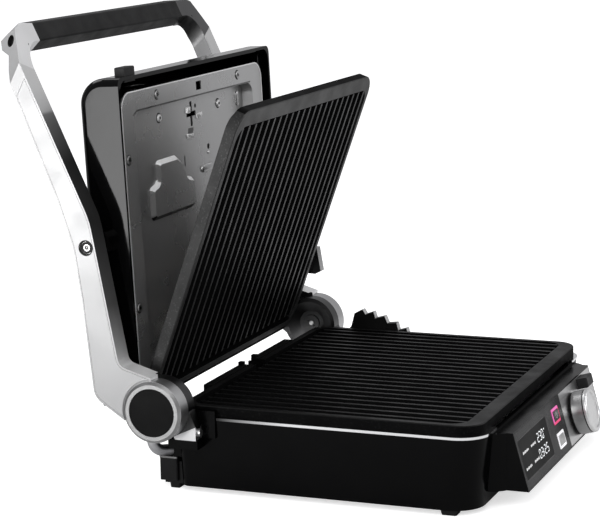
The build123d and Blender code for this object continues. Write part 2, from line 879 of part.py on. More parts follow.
rear_cover.part.label = "rear_cover"
export_step(rear_cover.part, "parts/rear_cover.step")

# Hinge brackets: a disc with a funnel on its inner side, on a foot that stands on the base
for name, side in SIDES:
    with BuildPart() as bracket:
        with BuildSketch(Plane.YZ.offset(side * bracket_inner)):
            with Locations((axis_y, axis_z)):
                Circle(hub_radius)
            with BuildLine():
                Polyline(
                    (seat_front + 1, seat_top),
                    (seat_front + 1, seat_top + 10.5),
                    (axis_y - hub_radius + 0.5, axis_z),
                    (axis_y, axis_z),
                    (seat_front + 18, seat_top),
                    close=True,
                )
            make_face()
            with BuildLine():
                Polyline(*from_hub(bracket_ear), close=True)
            make_face()
        extrude(amount=side * (bracket_outer - bracket_inner))
        with BuildSketch(hub_plane(side * bracket_inner)):
            Circle(funnel_radius)
        extrude(amount=side * funnel_depth, taper=funnel_angle, mode=Mode.SUBTRACT)
        with BuildSketch(hub_plane(side * bracket_inner)):
            Circle(pin_head_radius + 0.4)
        extrude(amount=side * pin_seat, mode=Mode.SUBTRACT)
        with BuildSketch(hub_plane(side * bracket_inner)):
            Circle(pin_radius)
        extrude(amount=side * (bracket_outer - bracket_inner), mode=Mode.SUBTRACT)
        with BuildSketch(Plane.XZ.offset(-(seat_front + 1))):
            with Locations((side * (bracket_inner + bracket_outer) / 2, bracket_screw_z)):
                Circle(bracket_screw_radius)
        extrude(amount=-(bracket_screw_length + 1), mode=Mode.SUBTRACT)
    bracket.part.label = name + "_hinge_bracket"
    export_step(bracket.part, "parts/" + name + "_hinge_bracket.step")

with BuildPart() as bracket_screws:
    for name, side in SIDES:
        with BuildSketch(Plane.XZ.offset(-(seat_front + 1))):
            with Locations((side * (bracket_inner + bracket_outer) / 2, bracket_screw_z)):
                Circle(bracket_screw_head)
        extrude(amount=bracket_screw_head_height)
        with BuildSketch(Plane.XZ.offset(-(seat_front + 1))):
            with Locations((side * (bracket_inner + bracket_outer) / 2, bracket_screw_z)):
                Circle(bracket_screw_radius)
        extrude(amount=-bracket_screw_length)
bracket_screws.part.label = "bracket_screws"
export_step(bracket_screws.part, "parts/bracket_screws.step")

with BuildPart() as hinge_pins:
    for name, side in SIDES:
        head_face = bracket_inner + pin_seat - pin_head_height
        with BuildSketch(hub_plane(side * head_face)):
            Circle(pin_head_radius)
        extrude(amount=side * pin_head_height)
        with BuildSketch(hub_plane(side * head_face)):
            Rectangle(9.0, 1.2, rotation=35)
        extrude(amount=side * pin_head_height / 2, mode=Mode.SUBTRACT)
        with BuildSketch(hub_plane(side * (bracket_inner + pin_seat))):
            Circle(pin_radius)
        extrude(amount=side * (pin_end - bracket_inner - pin_seat))
hinge_pins.part.label = "hinge_pins"
export_step(hinge_pins.part, "parts/hinge_pins.step")

# Cable conduit: short bent tube from under the left bracket into the rear cover
conduit_points = [(x - bracket_inner, axis_y + y, axis_z + z) for x, y, z in conduit_line]
with BuildPart() as cable_conduit:
    with BuildLine() as conduit_path:
        FilletPolyline(*conduit_points, radius=conduit_bend)
    with BuildSketch(Plane(origin=conduit_path.line @ 0, z_dir=conduit_path.line % 0)):
        Circle(conduit_radius)
        Circle(conduit_bore, mode=Mode.SUBTRACT)
    sweep(path=conduit_path.line)
    with BuildSketch(hub_plane(-bracket_outer)):
        Circle(hub_radius)
    extrude(amount=bracket_outer - bracket_inner + 2, mode=Mode.SUBTRACT)
    split(bisect_by=Plane.YZ.offset(-tray_block_half_width), keep=Keep.BOTTOM)
cable_conduit.part.label = "cable_conduit"
export_step(cable_conduit.part, "parts/cable_conduit.step")

# Control housing: sloping box on the front wall, open behind
with BuildPart() as control_housing:
    with BuildSketch(Plane.YZ.offset(-pod_half_width)):
        with BuildLine():
            Polyline(
                (base_front + 2, pod_bottom),
                (pod_face_bottom_y, pod_bottom),
                (pod_face_top_y, pod_top),
                (base_front - 2, pod_top),
                close=True,
            )
        make_face()
    extrude(amount=2 * pod_half_width)
    for name, side in SIDES:
        # concave fairing between the side of the housing and the base
        fairing_foot = base_front - base_front_flare - fairing_depth
        with BuildSketch(Plane.XY.offset(pod_bottom)):
            with BuildLine():
                fairing_line = Polyline(
                    (side * (pod_half_width + fairing_reach), base_front - 1),
                    (side * (pod_half_width - 4), base_front - 1),
                    (side * (pod_half_width - 4), fairing_foot),
                    (side * pod_half_width, fairing_foot),
                )
                RadiusArc(
                    fairing_line @ 1,
                    fairing_line @ 0,
                    side * -17.0,
                )
            make_face()
        extrude(amount=pod_top - pod_bottom)
    with BuildSketch(Plane.YZ.offset(-pod_half_width + pod_wall)):
        with BuildLine():
            Polyline(
                (base_front + 3, pod_bottom + pod_wall),
                (pod_point(face_length - pod_wall, pod_web)[0], pod_bottom + pod_wall),
                (pod_point(pod_wall, pod_web)[0], pod_top - pod_wall),
                (base_front - 1, pod_top - pod_wall),
                close=True,
            )
        make_face()
    extrude(amount=2 * (pod_half_width - pod_wall), mode=Mode.SUBTRACT)
    add(base_solid(base_bottom, base_top, 0), mode=Mode.SUBTRACT)
    with BuildSketch(pod_face):
        with Locations((0, -face_length / 2)):
            Rectangle(2 * (pod_half_width - panel_edge), face_length - 2 * panel_edge)
    extrude(amount=-panel_thickness, mode=Mode.SUBTRACT)
    with BuildSketch(pod_face):
        for opening_left, opening_right in (glass_opening, fascia_opening):
            with Locations(((opening_left + opening_right) / 2, -face_length / 2)):
                Rectangle(opening_right - opening_left, face_length - 2 * pod_shelf)
        with Locations(((release_left + release_right) / 2, -(release_top + release_bottom) / 2)):
            Rectangle(
                release_right - release_left + 2 * slide_gap,
                release_bottom - release_top + 2 * slide_gap,
            )
    extrude(amount=-(pod_web + 3), mode=Mode.SUBTRACT)
    with BuildSketch(pod_face.offset(-post_start)):
        with Locations(*board_posts):
            Circle(board_post_radius)
    extrude(amount=-(board_depth - post_start))
control_housing.part.label = "control_housing"
export_step(control_housing.part, "parts/control_housing.step")

# Glass display panel
with BuildPart() as control_glass:
    with BuildSketch(pod_face):
        with Locations((
            (panel_split - panel_seam / 2 - pod_half_width + panel_edge + 0.1) / 2,
            -face_length / 2,
        )):
            Rectangle(
                panel_split - panel_seam / 2 + pod_half_width - panel_edge - 0.1,
                face_length - 2 * panel_edge - 0.2,
            )
        with Locations((button_x, -power_button_down), (mode_button_x, -mode_button_down)):
            Rectangle(button_width + 0.2, button_height + 0.2, mode=Mode.SUBTRACT)
    extrude(amount=-panel_thickness)
control_glass.part.label = "control_glass"
export_step(control_glass.part, "parts/control_glass.step")

# Steel fascia with the openings for the knob shaft and the plate release
with BuildPart() as steel_fascia:
    with BuildSketch(pod_face):
        with Locations((
            (panel_split + panel_seam / 2 + pod_half_width - panel_edge - 0.1) / 2,
            -face_length / 2,
        )):
            Rectangle(
                pod_half_width - panel_edge - 0.1 - panel_split - panel_seam / 2,
                face_length - 2 * panel_edge - 0.2,
            )
        with Locations((knob_x, -knob_down)):
            Circle(fascia_hole_radius, mode=Mode.SUBTRACT)
        with Locations(((release_left + release_right) / 2, -(release_top + release_bottom) / 2)):
            Rectangle(
                release_right - release_left + 2 * slide_gap,
                release_bottom - release_top + 2 * slide_gap,
                mode=Mode.SUBTRACT,
            )
    extrude(amount=-panel_thickness)
steel_fascia.part.label = "steel_fascia"
export_step(steel_fascia.part, "parts/steel_fascia.step")

# Display module behind the glass
with BuildPart() as display_module:
    with BuildSketch(pod_face.offset(-panel_thickness)):
        with Locations(((display_left + display_right) / 2, -(display_top + display_bottom) / 2)):
            Rectangle(display_right - display_left, display_bottom - display_top)
    extrude(amount=-(board_depth - panel_thickness))
display_module.part.label = "display_module"
export_step(display_module.part, "parts/display_module.step")

# Control board with the switches under the two buttons
switch_depth = panel_thickness + button_cap_depth + button_travel + switch_gap
with BuildPart() as control_board:
    with BuildSketch(pod_face.offset(-board_depth)):
        with Locations(((board_left + board_right) / 2, -(board_top + board_bottom) / 2)):
            Rectangle(board_right - board_left, board_bottom - board_top)
    extrude(amount=-board_thickness)
    with BuildSketch(pod_face.offset(-board_depth)):
        with Locations((button_x, -power_button_down), (mode_button_x, -mode_button_down)):
            Rectangle(switch_size, switch_size)
    extrude(amount=board_depth - switch_depth)
control_board.part.label = "control_board"
export_step(control_board.part, "parts/control_board.step")

# Light frames round the buttons
with BuildPart() as button_frames:
    with BuildSketch(pod_face.offset(button_frame_proud)):
        with Locations((button_x, -power_button_down), (mode_button_x, -mode_button_down)):
            RectangleRounded(button_width, button_height, 1.2)
            Rectangle(
                button_width - 2 * button_frame,
                button_height - 2 * button_frame,
                mode=Mode.SUBTRACT,
            )
    extrude(amount=-(panel_thickness + button_frame_proud + button_frame_depth))
button_frames.part.label = "button_frames"
export_step(button_frames.part, "parts/button_frames.step")

# Push buttons
for name, place in (
    ("power_button", (button_x, -power_button_down)),
    ("mode_button", (mode_button_x, -mode_button_down)),
):
    with BuildPart() as button:
        with BuildSketch(pod_face.offset(button_proud)):
            with Locations(place):
                Rectangle(
                    button_width - 2 * button_frame - 2 * slide_gap,
                    button_height - 2 * button_frame - 2 * slide_gap,
                )
        extrude(amount=-(button_proud + panel_thickness + button_cap_depth))
    button.part.label = name
    export_step(button.part, "parts/" + name + ".step")

# Encoder and its shaft
with BuildPart() as encoder:
    with BuildSketch(pod_face.offset(-board_depth)):
        with Locations((knob_x, -knob_down)):
            Rectangle(encoder_width, encoder_height)
    extrude(amount=encoder_depth)
    with BuildSketch(pod_face.offset(-board_depth + encoder_depth)):
        with Locations((knob_x, -knob_down)):
            Circle(knob_shaft_radius)
    extrude(amount=board_depth - encoder_depth + shaft_reach)
encoder.part.label = "encoder"
export_step(encoder.part, "parts/encoder.step")

# Knob: dark core with a turned metal skirt and face
with BuildPart() as knob_body:
    with BuildSketch(pod_face.offset(knob_lift)):
        with Locations((knob_x, -knob_down)):
            Circle(knob_radius - knob_skirt_wall)
    extrude(amount=knob_height - knob_lift - knob_face_depth)
    with BuildSketch(pod_face.offset(knob_lift)):
        with Locations((knob_x, -knob_down)):
            Circle(knob_shaft_radius + shaft_gap)
    extrude(amount=shaft_reach - knob_lift + 2 * running_gap, mode=Mode.SUBTRACT)
knob_body.part.label = "knob_body"
export_step(knob_body.part, "parts/knob_body.step")

with BuildPart() as knob_skirt:
    with BuildSketch(pod_face.offset(knob_skirt_lift)):
        with Locations((knob_x, -knob_down)):
            Circle(knob_radius)
            Circle(knob_radius - knob_skirt_wall, mode=Mode.SUBTRACT)
    extrude(amount=knob_height - knob_skirt_lift - knob_face_depth - knob_groove)
knob_skirt.part.label = "knob_skirt"
export_step(knob_skirt.part, "parts/knob_skirt.step")

with BuildPart() as knob_face:
    with BuildSketch(pod_face.offset(knob_height - knob_face_depth)):
        with Locations((knob_x, -knob_down)):
            Circle(knob_radius)
    extrude(amount=knob_face_depth)
    fillet(knob_face.edges().sort_by(Axis((0, 0, 0), pod_face.z_dir))[-1], knob_face_round)
    with BuildSketch(pod_face.offset(knob_height)):
        with Locations((knob_x, -knob_down)):
            Circle(knob_radius - knob_rim)
    extrude(amount=-knob_dish, taper=25, mode=Mode.SUBTRACT)
knob_face.part.label = "knob_face"
export_step(knob_face.part, "parts/knob_face.step")

# Plate release on the fascia
with BuildPart() as lower_latch:
    with BuildSketch(pod_face.offset(release_reach)):
        with Locations(((release_left + release_right) / 2, -(release_top + release_bottom) / 2)):
            Rectangle(release_right - release_left, release_bottom - release_top)
    extrude(amount=-(release_reach + release_tail))
    fillet(lower_latch.faces().sort_by(Axis((0, 0, 0), pod_face.z_dir))[-1].edges(), release_round)
lower_latch.part.label = "lower_latch"
export_step(lower_latch.part, "parts/lower_latch.step")

# Height rack on the right of the base
with BuildPart() as height_rack:
    with BuildSketch(Plane.YZ.offset(rack_inner)):
        with BuildLine():
            Polyline(*[(base_rear + y, z) for y, z in rack_outline], close=True)
        make_face()
    extrude(amount=rack_thickness)
height_rack.part.label = "height_rack"
export_step(height_rack.part, "parts/height_rack.step")


def arm_outline():
    """Side outline of an arm from the hub up to the handle corner, drawn in Y and Z."""
    with BuildSketch(mode=Mode.PRIVATE) as outline:
        with BuildLine():
            Polyline(
                grip_section[1],
                *from_hub(arm_front_line),
                *from_hub((arm_hub_front, (0.0, 0.0), arm_hub_rear)),
                *from_hub(arm_rear_line),
                *grip_section[2:],
                grip_section[0],
                close=True,
            )
        make_face()
        for corner, radius in arm_rounds:
            y, z = from_hub([corner])[0]
            nearest = outline.vertices().sort_by_distance(Vector(y, z, 0))[0]
            fillet(nearest, radius)
    return outline.sketch_local


def mitre_plane(side):
    """Plane of the sloping face where an arm turns into the handle corner."""
    low = Vector(side * hub_outer, *from_hub([crease_low])[0])
    high = Vector(side * hub_outer, *from_hub([crease_high])[0])
    turned_in = Vector(side * (hub_outer - mitre_turn_in), *grip_section[0])
    normal = (high - low).cross(turned_in - low).normalized()
    if normal.X * side < 0:
        normal = -normal
    return Plane(origin=low, x_dir=high - low, z_dir=normal)


def corner_point(side, place):
    """Point given by how far it lies in from the hub's outer face and by its place from the axis."""
    inward, back, rise = place
    return Vector(side * (hub_outer - inward), axis_y + back, axis_z + rise)


def crown_plane(side):
    """Plane that slopes down over the handle corner, from the end of the grip outwards."""
    start = Vector(side * corner_inner, *grip_section[5])
    front = corner_point(side, crown_front)
    normal = (front - start).cross(corner_point(side, crown_rear) - start).normalized()
    if normal.Z < 0:
        normal = -normal
    return Plane(origin=start, x_dir=front - start, z_dir=normal)


def elbow_plane(side):
    """Plane across the inner elbow: x inwards from the arm, y away from the grip's lower facet."""
    facet_front = Vector(0, *grip_section[1])
    facet_rear = Vector(0, *grip_section[2])
    along = (facet_rear - facet_front).normalized()
    origin = Vector(side * arm_inner, *grip_section[1])
    return Plane(origin=origin, x_dir=(-side, 0, 0), z_dir=along * -side)


def grip_screw_plane(side):
    """Plane of the sloping face, centred on the screw that holds the grip in the corner."""
    mitre = mitre_plane(side)
    wanted = corner_point(side, grip_screw_place)
    height = (wanted - mitre.origin).dot(mitre.z_dir)
    return Plane(origin=wanted - mitre.z_dir * height, x_dir=mitre.x_dir, z_dir=mitre.z_dir)


arm_core_outer = hub_outer - arm_cover_thickness
for name, side in SIDES:
    # Arm: cast strip with the hinge drum at its foot and the handle corner at its head
    with BuildPart() as arm:
        with BuildSketch(Plane.YZ.offset(side * arm_inner)):
            add(arm_outline())
        extrude(amount=side * (hub_outer - arm_inner))
        with BuildSketch(Plane.YZ.offset(side * corner_inner)):
            with BuildLine():
                Polyline(*grip_section, close=True)
            make_face()
        extrude(amount=side * (hub_outer - corner_inner))
        # the hollow elbow between the arm and the grip
        with BuildSketch(Plane.YZ.offset(side * (arm_inner - elbow_radius))):
            add(arm_outline())
            with Locations((axis_y + elbow_low / 2, axis_z + 1.5 * elbow_low)):
                Rectangle(2 * elbow_low, elbow_low, mode=Mode.INTERSECT)
        extrude(amount=side * elbow_radius)
        with BuildSketch(elbow_plane(side)):
            with BuildLine():
                middle = elbow_radius * (1 - cos(radians(45)))
                Polyline(
                    (elbow_radius, 0),
                    (elbow_radius + 1, 0),
                    (elbow_radius + 1, elbow_room),
                    (0, elbow_room),
                    (0, elbow_radius),
                )
                ThreePointArc((0, elbow_radius), (middle, middle), (elbow_radius, 0))
            make_face()
        extrude(amount=elbow_room, both=True, mode=Mode.SUBTRACT)
        # the sloping faces of the handle corner
        for cut_plane in (mitre_plane(side), crown_plane(side)):
            with BuildSketch(cut_plane):
                Rectangle(240, 240)
            extrude(amount=60, mode=Mode.SUBTRACT)
        # the recess that takes the cover plate
        with BuildSketch(Plane.YZ.offset(side * arm_core_outer)) as cover_recess:
            add(arm_outline())
            offset(amount=-arm_cover_border, kind=Kind.INTERSECTION)
            with BuildLine():
                Polyline(*from_hub(cover_head), close=True)
            make_face(mode=Mode.SUBTRACT)
            with Locations((axis_y, axis_z)):
                Circle(hub_radius + hub_groove_width + 0.3, mode=Mode.SUBTRACT)
        extrude(amount=side * arm_cover_thickness, mode=Mode.SUBTRACT)
        # room for the bracket disc, then the drum itself
        with BuildSketch(hub_plane(side * arm_inner)):
            Circle(hub_radius + arm_hub_gap)
        extrude(amount=side * (bracket_outer + running_gap - arm_inner), mode=Mode.SUBTRACT)
        with BuildSketch(hub_plane(side * (bracket_outer + running_gap))):
            Circle(hub_radius)
        extrude(amount=side * (hub_outer - bracket_outer - running_gap))
        with BuildSketch(hub_plane(side * hub_outer)):
            Circle(hub_radius + hub_groove_width)
            Circle(hub_radius, mode=Mode.SUBTRACT)
        extrude(amount=-side * hub_groove_depth, mode=Mode.SUBTRACT)
        with BuildSketch(hub_plane(side * hub_outer)):
            Circle(cap_radius + 0.1)
        extrude(amount=-side * (cap_thickness - bezel_depth), mode=Mode.SUBTRACT)
        with BuildSketch(hub_plane(side * (bracket_outer + running_gap))):
            Circle(pin_radius + shaft_gap)
        extrude(amount=side * (pin_end + 0.3 - bracket_outer - running_gap), mode=Mode.SUBTRACT)
        # hole of the lid pivot bolt
        with BuildSketch(pivot_plane(side * arm_inner)):
            Circle(pivot_radius + shaft_gap)
        extrude(amount=side * (hub_outer - arm_inner), mode=Mode.SUBTRACT)
        with BuildSketch(pivot_plane(side * arm_core_outer)):
            Circle(pivot_head_radius)
        extrude(amount=-side * pivot_head_depth, mode=Mode.SUBTRACT)
        # recess and hole of the screw in the handle corner
        with BuildSketch(grip_screw_plane(side)):
            Circle(grip_screw_recess)
        extrude(amount=-grip_screw_recess_depth, mode=Mode.SUBTRACT)
        with BuildSketch(grip_screw_plane(side)):
            Circle(grip_screw_radius)
        extrude(amount=-(grip_screw_recess_depth + grip_screw_length + 1), mode=Mode.SUBTRACT)
        if side > 0:
            # stop post that reaches forward from the right arm
            with BuildSketch(Plane.YZ.offset(post_inner)):
                with BuildLine():
                    Polyline(*from_hub(post_outline), close=True)
                make_face()
            extrude(amount=post_outer - post_inner)
    arm.part.label = name + "_arm"
    export_step(arm.part, "parts/" + name + "_arm.step")

    # Cover plate let into the outer face of the arm
    with BuildPart() as arm_cover:
        with BuildSketch(Plane.YZ.offset(side * arm_core_outer)):
            add(cover_recess.sketch_local)
            offset(amount=-cover_gap, kind=Kind.INTERSECTION)
            with Locations((pivot_y, pivot_z)):
                Circle(pivot_head_radius, mode=Mode.SUBTRACT)
        extrude(amount=side * arm_cover_thickness)
    arm_cover.part.label = name + "_arm_cover"
    export_step(arm_cover.part, "parts/" + name + "_arm_cover.step")

# Chrome bezels and black caps on the hubs
with BuildPart() as hub_bezels:
    for name, side in SIDES:
        with BuildSketch(hub_plane(side * hub_outer)):
            Circle(hub_radius - 0.1)
        with BuildSketch(hub_plane(side * (hub_outer + bezel_depth))):
            Circle(bezel_radius)
        loft(ruled=True)
        with BuildSketch(hub_plane(side * hub_outer)):
            Circle(cap_radius + 0.1)
        extrude(amount=side * bezel_depth, mode=Mode.SUBTRACT)
hub_bezels.part.label = "hub_bezels"
export_step(hub_bezels.part, "parts/hub_bezels.step")

with BuildPart() as hub_caps:
    for name, side in SIDES:
        with BuildSketch(hub_plane(side * (hub_outer - cap_thickness + bezel_depth))):
            Circle(cap_radius)
        extrude(amount=side * (cap_thickness - 0.4))
hub_caps.part.label = "hub_caps"
export_step(hub_caps.part, "parts/hub_caps.step")

# Handle grip with faceted section
with BuildPart() as grip:
    with BuildSketch(Plane.YZ.offset(-corner_inner)):
        with BuildLine():
            Polyline(*grip_section, close=True)
        grip_face = make_face()
        fillet(grip_face.vertices(), grip_round)
    extrude(amount=2 * corner_inner)
grip.part.label = "grip"
export_step(grip.part, "parts/grip.step")

# Screws in the handle corners
with BuildPart() as grip_screws:
    for name, side in SIDES:
        recess_floor = grip_screw_plane(side).offset(-grip_screw_recess_depth)
        with BuildSketch(recess_floor):
            Circle(grip_screw_head)
        extrude(amount=grip_screw_head_height)
        with BuildSketch(recess_floor):
            Circle(grip_screw_radius)
        extrude(amount=-grip_screw_length)
grip_screws.part.label = "grip_screws"
export_step(grip_screws.part, "parts/grip_screws.step")

# Lid pivot bolts
with BuildPart() as pivot_bolts:
    for name, side in SIDES:
        head_seat = arm_core_outer - pivot_head_depth + running_gap
        with BuildSketch(pivot_plane(side * head_seat)):
            Circle(pivot_bolt_head)
        extrude(amount=side * (pivot_head_depth + pivot_head_proud - running_gap))
        with BuildSketch(pivot_plane(side * (arm_core_outer + pivot_head_proud))):
            RegularPolygon(pivot_socket, 6)
        extrude(amount=-side * pivot_head_depth / 2, mode=Mode.SUBTRACT)
        with BuildSketch(pivot_plane(side * head_seat)):
            Circle(pivot_radius)
        extrude(amount=-side * (head_seat - lid_width / 2 + pivot_hold))
pivot_bolts.part.label = "pivot_bolts"
export_step(pivot_bolts.part, "parts/pivot_bolts.step")

# Lid shell: a deep tray hung between the arms, open towards the plates
with BuildPart() as lid_shell:
    with BuildSketch(lid_side(-lid_width / 2)):
        add(lid_section(0, 0))
    extrude(amount=lid_width)
    rear_edges = lid_shell.edges().filter_by(Axis((0, 0, 0), lid_up)).sort_by(Axis.Y)[-2:]
    fillet(rear_edges, lid_side_round)
    for name, side in SIDES:
        with BuildSketch(pivot_plane(side * (lid_width / 2 - boss_root))):
            Circle(boss_radius)
        extrude(amount=side * (arm_inner - running_gap - lid_width / 2 + boss_root))
    with BuildSketch(lid_face):
        with Locations((0, (lid_opening_bottom + lid_opening_top) / 2)):
            RectangleRounded(
                plate_width + 2 * lid_opening_gap,
                lid_opening_top - lid_opening_bottom,
                lid_opening_corner,
            )
    extrude(amount=-lid_ledge_depth, mode=Mode.SUBTRACT)
    with BuildSketch(lid_side(-lid_cavity_half_width)):
        add(lid_section(lid_cavity_border, lid_ledge_depth - 1))
    extrude(amount=2 * lid_cavity_half_width, mode=Mode.SUBTRACT)
    for name, side in SIDES:
        # blind hole for the pivot bolt
        with BuildSketch(pivot_plane(side * (arm_inner - running_gap))):
            Circle(pivot_radius)
        extrude(amount=-side * (arm_inner - running_gap - lid_width / 2 + pivot_hold), mode=Mode.SUBTRACT)
        # ears of the upper plate's tilt pins, and room for the plate's barrels
        barrel_middle = side * tilt_x
        with BuildSketch(tilt_plane(barrel_middle - tilt_barrel_length / 2 - slide_gap)):
            Circle(tilt_barrel_radius + barrel_room)
        extrude(amount=tilt_barrel_length + 2 * slide_gap, mode=Mode.SUBTRACT)
        for end in (-1, 1):
            ear_start = barrel_middle + end * (tilt_barrel_length / 2 + slide_gap)
            with BuildSketch(tilt_plane(ear_start)):
                Circle(tilt_barrel_radius)
                with Locations((ear_depth / 2, (tilt_barrel_radius - ear_drop) / 2)):
                    Rectangle(ear_depth, tilt_barrel_radius + ear_drop)
                Circle(tilt_pin_radius, mode=Mode.SUBTRACT)
            extrude(amount=end * tilt_ear_width)
    # slot of the plate release in the top wall
    with BuildSketch(lid_face.offset(-(latch_front_depth - slide_gap))):
        with Locations(((latch_left + latch_right) / 2, lid_height)):
            Rectangle(latch_right - latch_left + 2 * slide_gap, 24)
    extrude(amount=-(latch_rear_depth - latch_front_depth + 2 * slide_gap), mode=Mode.SUBTRACT)
lid_shell.part.label = "lid_shell"
export_step(lid_shell.part, "parts/lid_shell.step")

# Upper reflector: pressed sheet with a sunk pan, a bell-shaped boss and punched holes
with BuildPart() as upper_reflector:
    reflector_height = upper_reflector_top - upper_reflector_bottom
    reflector_middle = (upper_reflector_top + upper_reflector_bottom) / 2
    with BuildSketch(lid_face.offset(-(lid_ledge_depth - sheet))):
        with Locations((0, reflector_middle)):
            RectangleRounded(upper_reflector_width, reflector_height, upper_reflector_corner)
    extrude(amount=-sheet)
    with BuildSketch(lid_face.offset(-(lid_ledge_depth - sheet))):
        with Locations((0, (pan_bottom + pan_top) / 2)):
            RectangleRounded(
                2 * (pan_half_width + sheet),
                pan_top - pan_bottom + 2 * sheet,
                pan_corner + sheet,
            )
    extrude(amount=-(pan_depth + sheet), taper=pan_draft)
    with BuildSketch(lid_face.offset(-(lid_ledge_depth - sheet))):
        with Locations((0, (pan_bottom + pan_top) / 2)):
            RectangleRounded(2 * pan_half_width, pan_top - pan_bottom, pan_corner)
    extrude(amount=-pan_depth, taper=pan_draft, mode=Mode.SUBTRACT)
    pan_floor = lid_face.offset(-(lid_ledge_depth - sheet + pan_depth))
    # bell-shaped boss pressed out towards the plate
    with BuildSketch(pan_floor):
        with BuildLine():
            FilletPolyline(*bell_outline, radius=bell_round, close=True)
        make_face()
    extrude(amount=bell_rise, taper=bell_draft)
    with BuildSketch(pan_floor.offset(-sheet)):
        with BuildLine():
            FilletPolyline(*bell_outline, radius=bell_round, close=True)
        make_face()
        offset(amount=-sheet)
    extrude(amount=bell_rise, taper=bell_draft, mode=Mode.SUBTRACT)
    # punched holes: a square window, a cross, a slot and a round hole
    with BuildSketch(lid_face.offset(-(lid_ledge_depth - sheet) + 1)):
        with Locations(window_place):
            Rectangle(*window_size)
        with Locations(cross_place):
            Rectangle(cross_width, cross_bar)
            Rectangle(cross_bar, cross_height)
        with Locations(punched_slot_place):
            SlotOverall(punched_slot_length, punched_slot_width, rotation=90)
        with Locations(punched_hole_place):
            Circle(punched_hole_radius)
    extrude(amount=-(pan_depth + 3), mode=Mode.SUBTRACT)
upper_reflector.part.label = "upper_reflector"
export_step(upper_reflector.part, "parts/upper_reflector.step")

# Screws that hold the reflector to the lid's ledge
with BuildPart() as reflector_screws:
    with BuildSketch(lid_face.offset(-(lid_ledge_depth - sheet))):
        with Locations(*flange_screws):
            Circle(reflector_screw_head)
    extrude(amount=reflector_screw_height)
    fillet(reflector_screws.faces().group_by(lid_out)[-1].edges(), reflector_screw_round)
reflector_screws.part.label = "reflector_screws"
export_step(reflector_screws.part, "parts/reflector_screws.step")

# Upper cooking plate with the barrels of its tilt pins and two lugs
with BuildPart() as upper_plate:
    add(cooking_plate(upper_face))
    for name, side in SIDES:
        barrel_middle = side * tilt_x
        ear_reach = tilt_barrel_length / 2 + 2 * slide_gap + tilt_ear_width
        with BuildSketch(tilt_plane(barrel_middle - ear_reach)):
            Circle(tilt_barrel_radius + barrel_room)
            with Locations((ear_depth / 2 + barrel_room, 0)):
                Rectangle(ear_depth + 2 * barrel_room, 2 * (tilt_barrel_radius + barrel_room))
        extrude(amount=2 * ear_reach, mode=Mode.SUBTRACT)
        with BuildSketch(tilt_plane(barrel_middle - tilt_barrel_length / 2)):
            Circle(tilt_barrel_radius)
            with Locations(barrel_root_place):
                Rectangle(*barrel_root_size)
            Circle(tilt_pin_radius + shaft_gap, mode=Mode.SUBTRACT)
        extrude(amount=tilt_barrel_length)
        with BuildSketch(upper_face.offset(-1.2)):
            with Locations((side * upper_lug_x, (plate_depth + upper_lug_reach - 1.0) / 2)):
                Rectangle(upper_lug_width, upper_lug_reach + 1.0)
        extrude(amount=-upper_lug_height)
upper_plate.part.label = "upper_plate"
export_step(upper_plate.part, "parts/upper_plate.step")

with BuildPart() as tilt_pins:
    for name, side in SIDES:
        pin_reach = tilt_barrel_length / 2 + slide_gap + tilt_ear_width
        with BuildSketch(tilt_plane(side * tilt_x - pin_reach)):
            Circle(tilt_pin_radius)
        extrude(amount=2 * pin_reach)
tilt_pins.part.label = "tilt_pins"
export_step(tilt_pins.part, "parts/tilt_pins.step")

with BuildPart() as upper_element:
    add(heating_element(upper_face))
upper_element.part.label = "upper_heating_element"
export_step(upper_element.part, "parts/upper_heating_element.step")

with BuildPart() as upper_terminal:
    add(terminal_block(upper_face))
upper_terminal.part.label = "upper_terminal_block"
export_step(upper_terminal.part, "parts/upper_terminal_block.step")

# Plate release in the top of the lid
with BuildPart() as upper_latch:
    with BuildSketch(lid_face.offset(-latch_front_depth)):
        with Locations(((latch_left + latch_right) / 2, lid_height + (latch_rise - latch_tail) / 2)):
            Rectangle(latch_right - latch_left, latch_rise + latch_tail)
    extrude(amount=-(latch_rear_depth - latch_front_depth))
    fillet(upper_latch.faces().sort_by(Axis((0, 0, 0), lid_up))[-1].edges(), latch_round)
upper_latch.part.label = "upper_latch"
export_step(upper_latch.part, "parts/upper_latch.step")
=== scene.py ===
import json
import math

import bpy
import bmesh
from mathutils import Matrix, Quaternion, Vector


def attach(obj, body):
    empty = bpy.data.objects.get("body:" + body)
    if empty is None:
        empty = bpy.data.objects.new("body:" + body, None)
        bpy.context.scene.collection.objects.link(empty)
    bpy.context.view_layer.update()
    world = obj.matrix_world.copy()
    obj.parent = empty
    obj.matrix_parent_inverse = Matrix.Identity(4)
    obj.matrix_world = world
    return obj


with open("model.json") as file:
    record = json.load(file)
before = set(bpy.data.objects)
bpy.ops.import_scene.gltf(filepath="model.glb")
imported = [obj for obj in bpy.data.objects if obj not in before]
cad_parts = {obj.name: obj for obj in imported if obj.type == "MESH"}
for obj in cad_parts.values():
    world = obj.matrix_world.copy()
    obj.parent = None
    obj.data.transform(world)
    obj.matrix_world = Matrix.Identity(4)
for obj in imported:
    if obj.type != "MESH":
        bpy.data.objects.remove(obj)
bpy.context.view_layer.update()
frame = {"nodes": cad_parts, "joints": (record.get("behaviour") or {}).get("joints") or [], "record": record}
nodes = frame["nodes"]
joints = {joint["name"]: joint for joint in frame["joints"]}
scene = bpy.context.scene

MM = 0.001
HEXAGON = 6
SIDES = ((-1, "left"), (1, "right"))
ACROSS = Vector((1, 0, 0))
STRAIGHT_UP = Vector((0, 0, 1))

# Sizes that the part has and its frame doesn't give, and the thickness of what is printed on it
glass_margin = 1.3 * MM
pan_depth = 9.0 * MM
hub_depth = 6.0 * MM
upper_plate_lean = math.radians(19.97)
print_rise = 0.12 * MM


